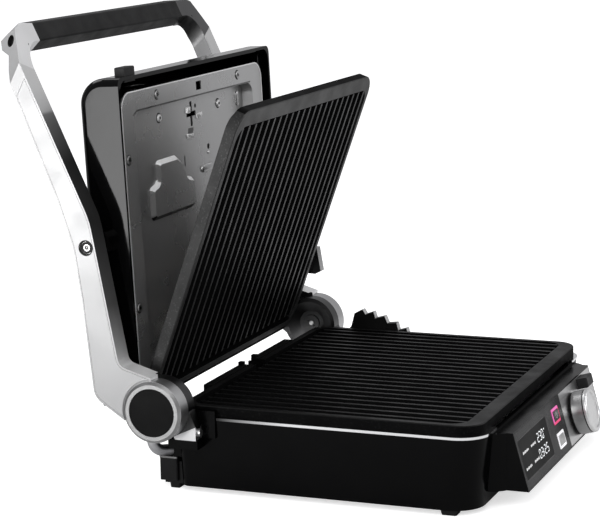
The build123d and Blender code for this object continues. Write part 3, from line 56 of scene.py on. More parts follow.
# Places and directions read from the frame
def joint_axis(name):
    return Vector(joints[name]["axis"]).normalized()


def joint_place(name):
    return Vector(joints[name]["pos_m"])


def reach(node, direction):
    """How far a node's mesh goes along a direction."""
    return max(vertex.co.dot(direction) for vertex in nodes[node].data.vertices)


class Face:
    """A flat face of the object: origin, x to the right, y up the face, out of the face."""

    def __init__(self, origin, right, out):
        self.origin = Vector(origin)
        self.right = Vector(right).normalized()
        self.out = Vector(out).normalized()
        self.up = self.out.cross(self.right)

    def point(self, x, y, depth):
        """A point on the face, depth above it, in metres."""
        return self.origin + self.right * x + self.up * y + self.out * depth

    def raised(self, depth):
        return Face(self.origin + self.out * depth, self.right, self.out)


def side_face(x, place, side, out):
    """A face square to X through a joint's place, that looks along X (out 1) or against it (out -1)."""
    return Face((x, place.y, place.z), (0, side, 0), (out, 0, 0))


# Control panel: origin at the middle of its top edge
panel_out = joint_axis("knob_turn")
panel_up = panel_out.cross(ACROSS)
panel_top = reach("control_glass", panel_up) + glass_margin
panel = Face(panel_out * reach("control_glass", panel_out) + panel_up * panel_top, ACROSS, panel_out)

# Reflector's flange: origin at the middle of its top edge
lid_up = -joint_axis("upper_release_press")
lid_out = ACROSS.cross(lid_up)
sheet = Face(
    lid_out * reach("upper_reflector", lid_out) + lid_up * reach("upper_reflector", lid_up), ACROSS, lid_out
)
pan = sheet.raised(-pan_depth)
upper_out = Vector((0, -math.cos(upper_plate_lean), -math.sin(upper_plate_lean)))
hub = joint_place("lid_open")
pivot = joint_place("lid_float")


# Materials
def grey(level, blue=None):
    """A grey, or one with its blue part given."""
    return (level, level, level if blue is None else blue)


class Shader:
    """A node material made step by step."""

    def __init__(self, name):
        self.material = bpy.data.materials.new(name)
        self.material.use_nodes = True
        self.tree = self.material.node_tree
        self.surface = self.tree.nodes["Principled BSDF"]
        self.place = self.tree.nodes.new("ShaderNodeTexCoord").outputs["Object"]

    def node(self, kind, **settings):
        made = self.tree.nodes.new(kind)
        for key, value in settings.items():
            setattr(made, key, value)
        return made

    def link(self, out, to):
        self.tree.links.new(out, to)

    def set(self, **values):
        for key, value in values.items():
            self.surface.inputs[key.replace("_", " ")].default_value = value
        return self

    def stretched(self, stretch):
        """The place, stretched along each axis."""
        mapping = self.node("ShaderNodeMapping")
        mapping.inputs["Scale"].default_value = stretch
        self.link(self.place, mapping.inputs["Vector"])
        return mapping.outputs["Vector"]

    def noise(self, scale, detail=3.0, stretch=None):
        texture = self.node("ShaderNodeTexNoise")
        texture.inputs["Scale"].default_value = scale
        texture.inputs["Detail"].default_value = detail
        self.link(self.stretched(stretch) if stretch else self.place, texture.inputs["Vector"])
        return texture.outputs["Fac"]

    def range(self, value, low, high, start=0.35, end=0.65):
        """Maps a value between start and end to one between low and high."""
        mapped = self.node("ShaderNodeMapRange")
        for key, number in (("From Min", start), ("From Max", end), ("To Min", low), ("To Max", high)):
            mapped.inputs[key].default_value = number
        self.link(value, mapped.inputs["Value"])
        return mapped.outputs["Result"]

    def along(self, axis, start, end):
        """A share from 0 to 1 between two places along one axis of the object, in metres."""
        parts = self.node("ShaderNodeSeparateXYZ")
        self.link(self.place, parts.inputs["Vector"])
        return self.range(parts.outputs[axis], 0.0, 1.0, start, end)

    def mix(self, share, first, second):
        mixed = self.node("ShaderNodeMix", data_type="RGBA")
        mixed.inputs["A"].default_value = (*first, 1.0)
        mixed.inputs["B"].default_value = (*second, 1.0)
        self.link(share, mixed.inputs["Factor"])
        return mixed.outputs["Result"]

    def colour(self, first, second, scale, stretch=None):
        """Two colours mixed in soft clouds."""
        share = self.range(self.noise(scale, stretch=stretch), 0.0, 1.0)
        self.link(self.mix(share, first, second), self.surface.inputs["Base Color"])
        return self

    def rough(self, low, high, scale, stretch=None):
        value = self.range(self.noise(scale, detail=4.0, stretch=stretch), low, high)
        self.link(value, self.surface.inputs["Roughness"])
        return self

    def fade(self, first, second, axis, start, end):
        """A colour that changes along one axis of the object, between two places in metres."""
        self.link(self.mix(self.along(axis, start, end), first, second), self.surface.inputs["Base Color"])
        return self

    def ramp(self, axis, stops):
        """Greys at places along one axis of the object, in metres."""
        first = stops[0][0]
        last = stops[-1][0]
        shades = self.node("ShaderNodeValToRGB")
        self.link(self.along(axis, first, last), shades.inputs["Fac"])
        elements = shades.color_ramp.elements
        while len(elements) < len(stops):
            elements.new(0.5)
        for element, (place, level) in zip(elements, stops):
            element.position = (place - first) / (last - first)
            element.color = (*grey(level), 1.0)
        self.link(shades.outputs["Color"], self.surface.inputs["Base Color"])
        return self

    def bump(self, height, scale, stretch=None):
        bump = self.node("ShaderNodeBump")
        bump.inputs["Distance"].default_value = height
        self.link(self.noise(scale, detail=2.0, stretch=stretch), bump.inputs["Height"])
        self.link(bump.outputs["Normal"], self.surface.inputs["Normal"])
        return self


# Scales of the noise that makes grain and specks, and stretches of brushed and turned metal
METAL_GRAIN = 900.0
PLASTIC_GRAIN = 2200.0
COAT_GRAIN = 1400.0
SPECKS = 900.0
SPECK_EDGE = (0.62, 0.72)
BRUSH_ACROSS = (0.02, 1.0, 1.0)
TURNED = (1.0, 12.0, 12.0)


def gloss_plastic(name, dark, light, rough=(0.16, 0.26), level=0.12):
    shader = Shader(name).set(Specular_IOR_Level=level)
    shader.colour(dark, light, 18.0).rough(*rough, 30.0).bump(0.02 * MM, 140.0)
    return shader.material


def grained_plastic(name, dark, light, rough=(0.42, 0.58), grain=0.05 * MM, level=0.15):
    shader = Shader(name).set(Specular_IOR_Level=level)
    shader.colour(dark, light, 40.0).rough(*rough, 60.0).bump(grain, PLASTIC_GRAIN)
    return shader.material


def metal(name, dark, light, rough, scale=60.0, stretch=None, grain=0.01 * MM, share=1.0):
    shader = Shader(name).set(Metallic=share)
    shader.colour(dark, light, scale, stretch).rough(*rough, scale, stretch)
    shader.bump(grain, METAL_GRAIN, stretch)
    return shader.material


def glow(name, colour, strength):
    shader = Shader(name).set(Emission_Color=(*colour, 1.0), Emission_Strength=strength, Roughness=0.5)
    shader.colour(colour, tuple(0.9 * part for part in colour), 200.0).bump(0.01 * MM, METAL_GRAIN)
    return shader.material


def nonstick(name, dark, light, speck, grain=0.06 * MM, level=0.14, rough=(0.4, 0.52)):
    """Coated cast aluminium: near black with fine specks."""
    shader = Shader(name).set(Specular_IOR_Level=level)
    specks = shader.range(shader.noise(SPECKS, detail=1.0), 0.0, 1.0, *SPECK_EDGE)
    base = shader.mix(shader.range(shader.noise(30.0), 0.0, 1.0), dark, light)
    over = shader.node("ShaderNodeMix", data_type="RGBA")
    over.inputs["B"].default_value = (*speck, 1.0)
    shader.link(specks, over.inputs["Factor"])
    shader.link(base, over.inputs["A"])
    shader.link(over.outputs["Result"], shader.surface.inputs["Base Color"])
    shader.rough(*rough, 50.0).bump(grain, COAT_GRAIN)
    return shader.material


def satin(name):
    """Satin silver of the arms, with painted shade that darkens it towards the hinge."""
    shader = Shader(name).set(Metallic=0.35)
    # painted shade: the base colour darkens from 0.35 to 0.25 towards the bottom
    shader.fade(grey(0.25, 0.252), grey(0.35, 0.352), "Z", 0.06, 0.2)
    return shader.rough(0.36, 0.44, 40.0).bump(0.01 * MM, METAL_GRAIN).material


# One look for each slot of the part
looks = {
    "gloss_black": gloss_plastic("GlossBlack", grey(0.0006, 0.0007), grey(0.001, 0.0011), level=0.06),
    "matte_black": grained_plastic("MatteBlack", grey(0.002, 0.0021), grey(0.004, 0.0042), level=0.1),
    "cap_black": grained_plastic(
        "CapBlack", grey(0.002, 0.0021), grey(0.003, 0.0031), grain=0.02 * MM, level=0.06
    ),
    "nonstick_plate": nonstick(
        "NonstickCoat",
        grey(0.0007, 0.0008),
        grey(0.0014, 0.0015),
        grey(0.006, 0.0063),
        level=0.03,
        rough=(0.55, 0.65),
    ),
    "cast_silver": metal("PolishedCast", grey(0.4, 0.403), grey(0.46, 0.463), (0.32, 0.4), 25.0),
    "cover_silver": satin("SatinCover"),
    "chrome_trim": metal("ChromeTrim", grey(0.66, 0.67), grey(0.74, 0.75), (0.07, 0.14), 40.0),
    "bare_steel": metal("BareSteel", grey(0.46), grey(0.5), (0.26, 0.3), 14.0, share=0.75),
    "brushed_fascia": metal(
        "BrushedFascia", grey(0.5), grey(0.56), (0.28, 0.34), 900.0, BRUSH_ACROSS, 0.004 * MM
    ),
    "spun_metal": metal("SpunMetal", grey(0.32), grey(0.36), (0.28, 0.34), 260.0, TURNED, 0.002 * MM),
    "fastener_steel": metal("FastenerSteel", grey(0.4), grey(0.55), (0.25, 0.4), 200.0),
    "grip_grey": grained_plastic("GripGrey", grey(0.006, 0.0062), grey(0.009, 0.0092), (0.5, 0.62)),
    "black_glass": gloss_plastic("BlackGlass", grey(0.018, 0.0185), grey(0.021, 0.0215), (0.2, 0.3), 0.06),
    "display_dark": grained_plastic("DisplayBody", grey(0.02), grey(0.03)),
    "board_green": grained_plastic("BoardGreen", (0.01, 0.06, 0.02), (0.015, 0.09, 0.03)),
    "sheath_steel": metal("SheathSteel", (0.12, 0.11, 0.1), (0.26, 0.23, 0.2), (0.4, 0.55), 30.0),
    "ceramic_white": grained_plastic("Ceramic", (0.6, 0.58, 0.52), (0.7, 0.68, 0.62)),
    "foot_rubber": grained_plastic("FootRubber", grey(0.004), grey(0.008), (0.6, 0.75)),
    "latch_grey": grained_plastic("LatchGrey", grey(0.012, 0.0125), grey(0.02, 0.0205), (0.4, 0.52)),
    "rack_black": grained_plastic("RackBlack", grey(0.004), grey(0.007), (0.3, 0.42)),
    "button_lens": glow("LensWhite", grey(0.86, 0.88), 0.35),
    "button_dark": gloss_plastic("ButtonDark", grey(0.012, 0.013), grey(0.018, 0.019)),
    "encoder_metal": metal("EncoderMetal", grey(0.4), grey(0.5), (0.3, 0.4)),
    "conduit_metal": metal("ConduitMetal", grey(0.25, 0.26), grey(0.36, 0.37), (0.3, 0.42)),
    "gland_black": grained_plastic("GlandBlack", grey(0.006), grey(0.01)),
}
slot_of = {part["node"]: part["material_slot"] for part in frame["record"]["subparts"]}


def coat(name, look):
    """Gives a whole node one look."""
    mesh = nodes[name].data
    mesh.materials.clear()
    mesh.materials.append(look)
    for polygon in mesh.polygons:
        polygon.material_index = 0


def paint(name, look, wanted):
    """Gives one look to the faces of a node for which wanted(centre, normal) is true."""
    mesh = nodes[name].data
    mesh.materials.append(look)
    index = len(mesh.materials) - 1
    for polygon in mesh.polygons:
        if wanted(polygon.center, polygon.normal):
            polygon.material_index = index


for node_name in nodes:
    coat(node_name, looks[slot_of[node_name]])

# Below, a number that a normal is held against is the cosine of its angle to a direction.
# Plates: flat rims, and speckled sides on the upper one
rim_depth = 1.2 * MM
lug_rise = 2.5 * MM
cast_side = nonstick("CastSide", grey(0.008), grey(0.014), grey(0.05), 0.15 * MM, 0.2)
rim_coat = nonstick("RimCoat", grey(0.01), grey(0.014), grey(0.025), 0.04 * MM, 0.3)
low_rim_coat = nonstick("LowRimCoat", grey(0.003), grey(0.005), grey(0.012))


def faces_out(level, out):
    """True for faces that look along out and lie within the rim's depth of a level."""
    return lambda centre, normal: normal.dot(out) > 0.5 and centre.dot(out) > level - rim_depth


def plate_side(centre, normal):
    """True for the upper plate's left and right sides."""
    return abs(normal.dot(upper_out)) < 0.3 and abs(normal.x) > 0.5


paint("upper_plate", cast_side, plate_side)
paint("upper_plate", rim_coat, faces_out(reach("upper_plate", upper_out), upper_out))
paint("lower_plate", low_rim_coat, faces_out(reach("lower_plate", STRAIGHT_UP) - lug_rise, STRAIGHT_UP))

# Arms: satin outside, painted shade towards the lid, a painted reflection graded along the front strip,
# painted light on the left elbow and painted shade on the right one, and painted shade on the handle's
# mitred corners and top edges
corner_level = pivot.z + 30 * MM
strip_level = hub.z + 235 * MM
drum_radius = 24.5 * MM
top_edge_out = (0.305, 0.603, 0.7375)
mitre_out = (0.8067, 0.5264, 0.2684)
grip_screw_place = (0.15849, 0.23922, 0.3415)
recess_radius = 4.75 * MM
recess_reach = 9.0 * MM
# Heights in metres and greys of the painted reflection on the front strip
strip_reflection_greys = (
    (0.06, 0.8),
    (0.095, 0.75),
    (0.112, 0.4),
    (0.147, 0.12),
    (0.208, 0.04),
    (0.253, 0.03),
    (0.289, 0.2),
    (0.291, 0.5),
    (0.34, 0.55),
)
satin_cast = satin("SatinCast")
# painted shade: a dark copy of the cast metal, for faces towards the lid and for the right elbow
shaded_cast = metal("ShadedCast", grey(0.07, 0.071), grey(0.1, 0.101), (0.3, 0.4), 25.0)
# painted shade on the mitred face of each handle corner
mitre_painted_shade = metal("MitrePaintedShade", grey(0.32, 0.323), grey(0.36, 0.363), (0.36, 0.42), 25.0, share=0.4)
# painted light: a bright copy of the cast metal, for the left elbow
elbow_painted_light = metal("ElbowPaintedLight", grey(0.62, 0.625), grey(0.68, 0.685), (0.32, 0.4), 25.0, share=0.4)
# painted shade on the sloping face above each mitre
top_edge_painted_shade = metal("TopEdgePaintedShade", grey(0.26, 0.262), grey(0.3, 0.302), (0.32, 0.4), 25.0)
# black for the pivot bolts' washers, and painted shade in the screw recesses, on the screws in them and in
# the gaps round the pivot bolts
black_and_recess_shade = grained_plastic("BlackAndRecessShade", grey(0.006), grey(0.01))
# painted reflection: greys graded by height along the front strip
strip_painted_reflection = Shader("StripPaintedReflection").set(Metallic=0.5).ramp("Z", strip_reflection_greys)
strip_painted_reflection.rough(0.3, 0.4, 25.0).bump(0.01 * MM, METAL_GRAIN)


def mirrored(place, side):
    """A place or direction given for the right side, on either side."""
    return Vector((side * place[0], place[1], place[2]))


def outer_side(side):
    """True for faces that look away from the lid."""
    return lambda centre, normal: normal.x * side > 0.7


def lid_side_face(side):
    """True for faces that look towards the lid, below the handle corner."""
    return lambda centre, normal: normal.x * side < -0.3 and centre.z < strip_level


def front_strip(centre, normal):
    """True for the narrow faces of an arm that look to the front, between its hub and the handle corner."""
    facing = abs(normal.x) < 0.5 and (normal.y < -0.15 or normal.z > 0.3)
    return facing and centre.z < strip_level and math.hypot(centre.y - hub.y, centre.z - hub.z) > drum_radius


def elbow_face(side):
    """True for the faces round the inner elbow."""
    return lambda centre, normal: normal.x * side < 0.5 and centre.z > strip_level


def corner_top(side):
    """True for the mitred face of the handle corner and the rounding behind it."""
    return lambda centre, normal: 0.1 < normal.x * side < 0.95 and normal.y > 0.3 and centre.z > corner_level


def top_edge(side):
    """True for the sloping face above the mitre."""
    return lambda centre, normal: normal.dot(mirrored(top_edge_out, side)) > 0.97


def screw_recess(side):
    """True for the faces inside the hole of the grip screw."""
    foot = mirrored(grip_screw_place, side)
    axis = mirrored(mitre_out, side)

    def wanted(centre, normal):
        reached = centre - foot
        along = reached.dot(axis)
        off = reached - axis * along
        facing = abs(normal.dot(axis)) < 0.3 or normal.dot(axis) > 0.7 and along < -recess_reach / 4
        return facing and off.length < recess_radius and abs(along) < recess_reach

    return wanted


for side, side_name in SIDES:
    arm_name = side_name + "_arm"
    paint(arm_name, satin_cast, outer_side(side))
    paint(arm_name, strip_painted_reflection.material, front_strip)
    # painted light on the left elbow, painted shade on the right one
    paint(arm_name, elbow_painted_light if side < 0 else shaded_cast, elbow_face(side))
    paint(arm_name, shaded_cast, lid_side_face(side))
    paint(arm_name, mitre_painted_shade, corner_top(side))
    paint(arm_name, top_edge_painted_shade, top_edge(side))
    # painted shade inside the hole of the grip screw
    paint(arm_name, black_and_recess_shade, screw_recess(side))
# the grip screws, dark with painted shade in their recess
coat("grip_screws", black_and_recess_shade)

# Hinge: a grey ring round each cap, and painted shade on the bracket's inner side and top and on the hinge
# pins' heads
bracket_level = hub.z - 15 * MM
ring_grey = metal("RingGrey", grey(0.22), grey(0.24), (0.36, 0.42), 200.0)
funnel_shade = metal("FunnelShade", grey(0.04, 0.0405), grey(0.06, 0.0605), (0.3, 0.42), 25.0)


# the bracket's faces above the hinge, which get painted shade
def bracket_top(centre, normal):
    return centre.z > bracket_level


for side, side_name in SIDES:
    # painted shade on the bracket's faces towards the lid and on its top
    paint(side_name + "_hinge_bracket", funnel_shade, lid_side_face(side))
    paint(side_name + "_hinge_bracket", funnel_shade, bracket_top)
coat("hub_bezels", ring_grey)
# painted shade on the hinge pins' heads
coat("hinge_pins", funnel_shade)

# Chrome trim: painted shade darkens it towards the hinge
chrome_painted_shade = Shader("ChromeTrimPaintedShade").set(Metallic=1.0)
# painted shade: the base colour darkens along Y towards the hinge
chrome_painted_shade.fade(grey(0.74, 0.75), grey(0.03), "Y", 0.03, 0.085)
chrome_painted_shade.rough(0.08, 0.16, 40.0).bump(0.004 * MM, METAL_GRAIN)
coat("trim_ring", chrome_painted_shade.material)

# Buttons: the frame round the power button glows pink above a slanted line and red below it
frame_split = -23.0 * MM
power_middle = (-5.5 * MM, -13.4 * MM)
glow_slant = 0.4
glow_pink = glow("GlowPink", (0.62, 0.12, 0.36), 0.55)
glow_red = glow("GlowRed", (0.6, 0.03, 0.13), 0.55)
key_silver = metal("KeySilver", grey(0.4), grey(0.55), (0.3, 0.4), 200.0)


def on_power_frame(pink):
    """True for faces of the upper button frame, either its pink or its red part."""

    def wanted(centre, normal):
        place = centre - panel.origin
        x = place.x - power_middle[0]
        y = place.dot(panel.up)
        return y > frame_split and (y - power_middle[1] > glow_slant * x) == pink

    return wanted


paint("button_frames", glow_pink, on_power_frame(True))
paint("button_frames", glow_red, on_power_frame(False))
coat("mode_button", key_silver)

# Reflector's bell: a painted highlight on its upper slopes, painted shade on its lower slope
bell_top = sheet.origin.dot(lid_up) - 52 * MM
bell_height = 60 * MM
bell_side = 85 * MM
# painted highlight on the bell's upper slopes
bell_painted_highlight = metal("BellPaintedHighlight", grey(0.85), grey(0.9), (0.26, 0.32), share=0.3)
# painted shade on the bell's lower slope
bell_painted_shade = metal("BellPaintedShade", grey(0.05), grey(0.08), (0.3, 0.4))


def bell_slope(way):
    """True for the bell's flanks that look up (way 1) or down (way -1) the lid."""

    def wanted(centre, normal):
        flank = 0.2 < normal.dot(lid_out) < 0.9 and normal.dot(lid_up) * way > 0.3
        return flank and abs(centre.x) < bell_side and bell_top - bell_height < centre.dot(lid_up) < bell_top

    return wanted


paint("upper_reflector", bell_painted_highlight, bell_slope(1))
paint("upper_reflector", bell_painted_shade, bell_slope(-1))

# Glossier lid, turned metal on the knob's face brightened as a painted reflection, pale fronts on the rack's
# teeth, dull trim on the tray
tooth_foot = hub.z - 8 * MM
lid_gloss = gloss_plastic("LidGloss", grey(0.0006, 0.0007), grey(0.001, 0.0011), (0.05, 0.09), 0.12)
knob_painted_reflection = metal("KnobPaintedReflection", grey(0.66), grey(0.72), (0.3, 0.34), 500.0, grain=0.001 * MM)
pale_tooth_front = grained_plastic("PaleToothFront", grey(0.4), grey(0.5))
dull_trim = metal("DullTrim", grey(0.1), grey(0.16), (0.25, 0.35))
coat("lid_shell", lid_gloss)
# turned metal on the knob's face, made brighter as a painted reflection
coat("knob_face", knob_painted_reflection)
coat("tray_trim", dull_trim)
# the front faces of the rack's teeth, painted pale
paint("height_rack", pale_tooth_front, lambda centre, normal: normal.y < -0.6 and centre.z > tooth_foot)

# Rounded edges, in mm, and smooth shading
EDGE_WIDTHS = {
    "left_arm": 0.5,
    "right_arm": 0.5,
    "left_arm_cover": 0.4,
    "right_arm_cover": 0.4,
    "base_housing": 0.5,
    "lid_shell": 0.8,
    "control_housing": 0.4,
    "drip_tray": 0.5,
    "rear_cover": 0.4,
    "tray_trim": 0.3,
    "trim_ring": 0.3,
    "hub_bezels": 0.3,
    "hub_caps": 0.5,
    "height_rack": 0.5,
    "left_hinge_bracket": 0.5,
    "right_hinge_bracket": 0.5,
    "front_feet": 0.4,
    "rear_feet": 0.4,
    "steel_fascia": 0.2,
    "power_button": 0.3,
    "mode_button": 0.3,
}
FLAT_FACED = ("upper_reflector", "lid_shell", "base_housing", "left_arm", "right_arm")
smooth_angle = math.radians(32)
bevel_angle = math.radians(38)
bevel_segments = 2


def soften(name, width):
    """Rounds the sharp edges of a node."""
    bevel = nodes[name].modifiers.new("rounded_edges", "BEVEL")
    bevel.width = width
    bevel.segments = bevel_segments
    bevel.limit_method = "ANGLE"
    bevel.angle_limit = bevel_angle


def smooth(mesh, angle):
    """Smooth shading, but for edges sharper than an angle."""
    mesh.shade_smooth()
    mesh.set_sharp_from_angle(angle=angle)


for node_name in nodes:
    smooth(nodes[node_name].data, smooth_angle)
for node_name, edge_width in EDGE_WIDTHS.items():
    soften(node_name, edge_width * MM)
for node_name in FLAT_FACED:
    flat = nodes[node_name].modifiers.new("flat_faces", "WEIGHTED_NORMAL")
    flat.keep_sharp = True


# Outlines: lists of (x, y) in metres, anticlockwise
def in_mm(points):
    return [(x * MM, y * MM) for x, y in points]


def rectangle(x, y, width, height):
    return [
        (x - width / 2, y - height / 2),
        (x + width / 2, y - height / 2),
        (x + width / 2, y + height / 2),
        (x - width / 2, y + height / 2),
    ]


def circle(x, y, radius, count=32):
    turns = [2 * math.pi * i / count for i in range(count)]
    return [(x + radius * math.cos(turn), y + radius * math.sin(turn)) for turn in turns]


def ring(x, y, outer, inner, count=32):
    """An outer and an inner outline round one middle."""
    return circle(x, y, outer, count), circle(x, y, inner, count)


def rounded(points, radius, steps=5):
    """An outline with its corners rounded."""
    outline = []
    count = len(points)
    for i in range(count):
        corner = Vector(points[i])
        before = (Vector(points[i - 1]) - corner).normalized()
        after = (Vector(points[(i + 1) % count]) - corner).normalized()
        half = math.acos(max(-1.0, min(1.0, before.dot(after)))) / 2
        start = corner + before * radius / math.tan(half)
        end = corner + after * radius / math.tan(half)
        centre = corner + (before + after).normalized() * radius / math.sin(half)
        for step in range(steps + 1):
            spoke = start.lerp(end, step / steps) - centre
            outline.append(tuple(centre + spoke.normalized() * radius))
    return outline


def inset(outline, distance):
    """An outline drawn in by a distance."""
    count = len(outline)
    drawn = []
    for i in range(count):
        here = Vector(outline[i])
        along = (Vector(outline[(i + 1) % count]) - Vector(outline[i - 1])).normalized()
        drawn.append(tuple(here + Vector((-along.y, along.x)) * distance))
    return drawn


# Detail pieces
def piece(name, vertices, faces, look, body):
    """A mesh piece that rides on a body."""
    mesh = bpy.data.meshes.new(name)
    mesh.from_pydata([tuple(vertex) for vertex in vertices], [], faces)
    mesh.validate()
    shape = bmesh.new()
    shape.from_mesh(mesh)
    bmesh.ops.recalc_face_normals(shape, faces=shape.faces)
    shape.to_mesh(mesh)
    shape.free()
    mesh.materials.append(look)
    made = bpy.data.objects.new(name, mesh)
    scene.collection.objects.link(made)
    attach(made, body)
    return made


def prisms(name, face, outlines, look, body, low=0.0, high=print_rise):
    """Flat shapes on a face, from one height above it to another."""
    vertices = []
    faces = []
    for outline in outlines:
        first = len(vertices)
        count = len(outline)
        vertices += [face.point(x, y, low) for x, y in outline]
        vertices += [face.point(x, y, high) for x, y in outline]
        faces.append([first + i for i in range(count)][::-1])
        faces.append([first + count + i for i in range(count)])
        for i in range(count):
            j = (i + 1) % count
            faces.append([first + i, first + j, first + count + j, first + count + i])
    piece(name, vertices, faces, look, body)


def band(name, face, rings, look, body, low=0.0, high=print_rise):
    """Flat rings on a face: each ring is an outer and an inner outline of equal length."""
    vertices = []
    faces = []
    for outer, inner in rings:
        count = len(outer)
        first = len(vertices)
        for outline, level in ((outer, low), (outer, high), (inner, high), (inner, low)):
            vertices += [face.point(x, y, level) for x, y in outline]
        for i in range(count):
            j = (i + 1) % count
            for row in range(4):
                a = first + row * count
                b = first + (row + 1) % 4 * count
                faces.append([a + i, a + j, b + j, b + i])
    piece(name, vertices, faces, look, body)


RELIEF_STEPS = 4
relief_angle = math.radians(50)


def relief(name, face, outlines, height, slope, look, body):
    """Pressed bumps: each outline rises with a rounded flank to a flat top."""
    vertices = []
    faces = []
    for outline in outlines:
        count = len(outline)
        first = len(vertices)
        for step in range(RELIEF_STEPS + 1):
            angle = math.pi / 2 * step / RELIEF_STEPS
            drawn = inset(outline, slope * (1 - math.cos(angle)))
            vertices += [face.point(x, y, height * math.sin(angle)) for x, y in drawn]
        for step in range(RELIEF_STEPS):
            a = first + step * count
            b = a + count
            for i in range(count):
                j = (i + 1) % count
                faces.append([a + i, a + j, b + j, b + i])
        top = first + RELIEF_STEPS * count
        faces.append([top + i for i in range(count)])
        faces.append([first + i for i in range(count)][::-1])
    made = piece(name, vertices, faces, look, body)
    smooth(made.data, relief_angle)


# Digits of seven segments: a at the top, then clockwise to f, and g in the middle
SEGMENTS = {
    "0": "abcdef",
    "1": "bc",
    "2": "abged",
    "3": "abgcd",
    "4": "fgbc",
    "5": "afgcd",
    "6": "afgedc",
    "7": "abc",
    "8": "abcdefg",
    "9": "abcdfg",
}
digit_width = 3.9 * MM
digit_height = 6.4 * MM
digit_stroke = 0.75 * MM
digit_gap = 2.4 * MM


def digit(text, x, y):
    """Outlines of one digit whose lower left corner is at x, y."""
    middle = x + digit_width / 2
    right = x + digit_width
    flat_bar = (digit_width - digit_stroke, digit_stroke)
    tall_bar = (digit_stroke, digit_height / 2 - digit_stroke)
    bars = {
        "a": (middle, y + digit_height, *flat_bar),
        "b": (right, y + digit_height * 0.75, *tall_bar),
        "c": (right, y + digit_height * 0.25, *tall_bar),
        "d": (middle, y, *flat_bar),
        "e": (x, y + digit_height * 0.25, *tall_bar),
        "f": (x, y + digit_height * 0.75, *tall_bar),
        "g": (middle, y + digit_height / 2, *flat_bar),
    }
    return [rectangle(*bars[name]) for name in SEGMENTS[text]]


def number(text, x, y):
    outlines = []
    for place, letter in enumerate(text):
        outlines += digit(letter, x + place * (digit_width + digit_gap), y)
    return outlines


# Display: a dark window with a thin outline
window_place = (-70.5 * MM, -22.4 * MM)
window_size = (78.0 * MM, 31.0 * MM)
window_corner = 2.0 * MM
window_line = 0.45 * MM
window_dark = gloss_plastic("WindowDark", grey(0.002, 0.0021), grey(0.003, 0.0031), (0.3, 0.4), 0.03)
window_edge = gloss_plastic("WindowEdge", grey(0.04, 0.041), grey(0.05, 0.051))
window_outline = rounded(rectangle(*window_place, *window_size), window_corner)
window_ring = (window_outline, inset(window_outline, window_line))
prisms("display_window", panel, [window_outline], window_dark, "base", high=print_rise / 2)
band("display_outline", panel, [window_ring], window_edge, "base")

# Display: the heat in degrees above the time, and four rows of small marks, their places in mm
heat_foot = (-62.5 * MM, -20.2 * MM)
hours_foot = (-66.5 * MM, -31.8 * MM)
minutes_foot = (-52.0 * MM, -31.8 * MM)
colon_x = -54.2
colon_heights = (-28.6 - 1.2, -28.6 + 1.2)
colon_dot = 0.8 * MM
degree_sign = (-42.3 * MM, -14.6 * MM, 1.4 * MM, 1.2 * MM)
mark_height = 1.9 * MM
mark_pitch = 2.6 * MM
mark_share = 0.7
short_mark = 0.7
mark_rows = ((-103.5, -18.2, 6), (-81.5, -18.2, 5), (-82.0, -30.2, 5), (-105.0, -30.2, 6))
digit_white = glow("DigitWhite", (0.8, 0.82, 0.84), 0.6)
mark_white = glow("MarkWhite", grey(0.62), 0.45)


def mark_row(left, height, count):
    """A row of bars, every second one shorter, from its left end in mm."""
    return [
        rectangle(
            left * MM + (stroke + 0.5) * mark_pitch,
            height * MM,
            mark_share * mark_pitch,
            mark_height * (short_mark if stroke % 2 else 1.0),
        )
        for stroke in range(count)
    ]


colon = [rectangle(colon_x * MM, height * MM, colon_dot, colon_dot) for height in colon_heights]
digits = number("230", *heat_foot) + number("03", *hours_foot) + number("25", *minutes_foot)
prisms("display_digits", panel, digits + colon + [rectangle(*degree_sign)], digit_white, "base")
prisms("display_marks", panel, [mark for row in mark_rows for mark in mark_row(*row)], mark_white, "base")

# Sign on the power button: a ring and a short bar
sign_outer = 2.3 * MM
sign_inner = 1.7 * MM
sign_bar = (power_middle[0], power_middle[1] + 1.4 * MM, 0.7 * MM, 2.6 * MM)
sign_grey = glow("SignGrey", (0.3, 0.28, 0.29), 0.15)
button_face = panel.raised(reach("power_button", panel_out) - panel.origin.dot(panel_out))
sign_ring = ring(*power_middle, sign_outer, sign_inner)
band("power_sign_ring", button_face, [sign_ring], sign_grey, "power_key")
prisms("power_sign_bar", button_face, [rectangle(*sign_bar)], sign_grey, "power_key", high=1.5 * print_rise)

# Reflector's flange: a painted highlight along the hem, and a painted shadow line above the pan
sheet_width = 2 * reach("upper_reflector", ACROSS)
sheet_height = reach("upper_reflector", lid_up) + reach("upper_reflector", -lid_up)
hem_corner = 14.0 * MM
hem_start = 0.1 * MM
hem_end = 0.9 * MM
hem_rise = 0.2 * MM
pan_shadow_outline = in_mm(
    ((-118.0, -18.6), (-117.0, -18.6), (-110.0, -16.0), (112.0, -16.0), (112.0, -14.8), (-110.5, -14.8))
)
hem_highlight = metal("HemHighlight", grey(0.85), grey(0.92), (0.3, 0.4), share=0.4)
groove_shade = metal("GrooveShade", grey(0.1), grey(0.14), (0.3, 0.4))
hem_outline = rounded(rectangle(0, -sheet_height / 2, sheet_width, sheet_height), hem_corner, 8)
hem_ring = (inset(hem_outline, hem_start), inset(hem_outline, hem_end))
# painted highlight along the hem
band("reflector_hem_highlight", sheet, [hem_ring], hem_highlight, "lid", high=hem_rise)
# painted shadow line along the pan's top edge
prisms("pan_edge_shadow", sheet, [pan_shadow_outline], groove_shade, "lid")

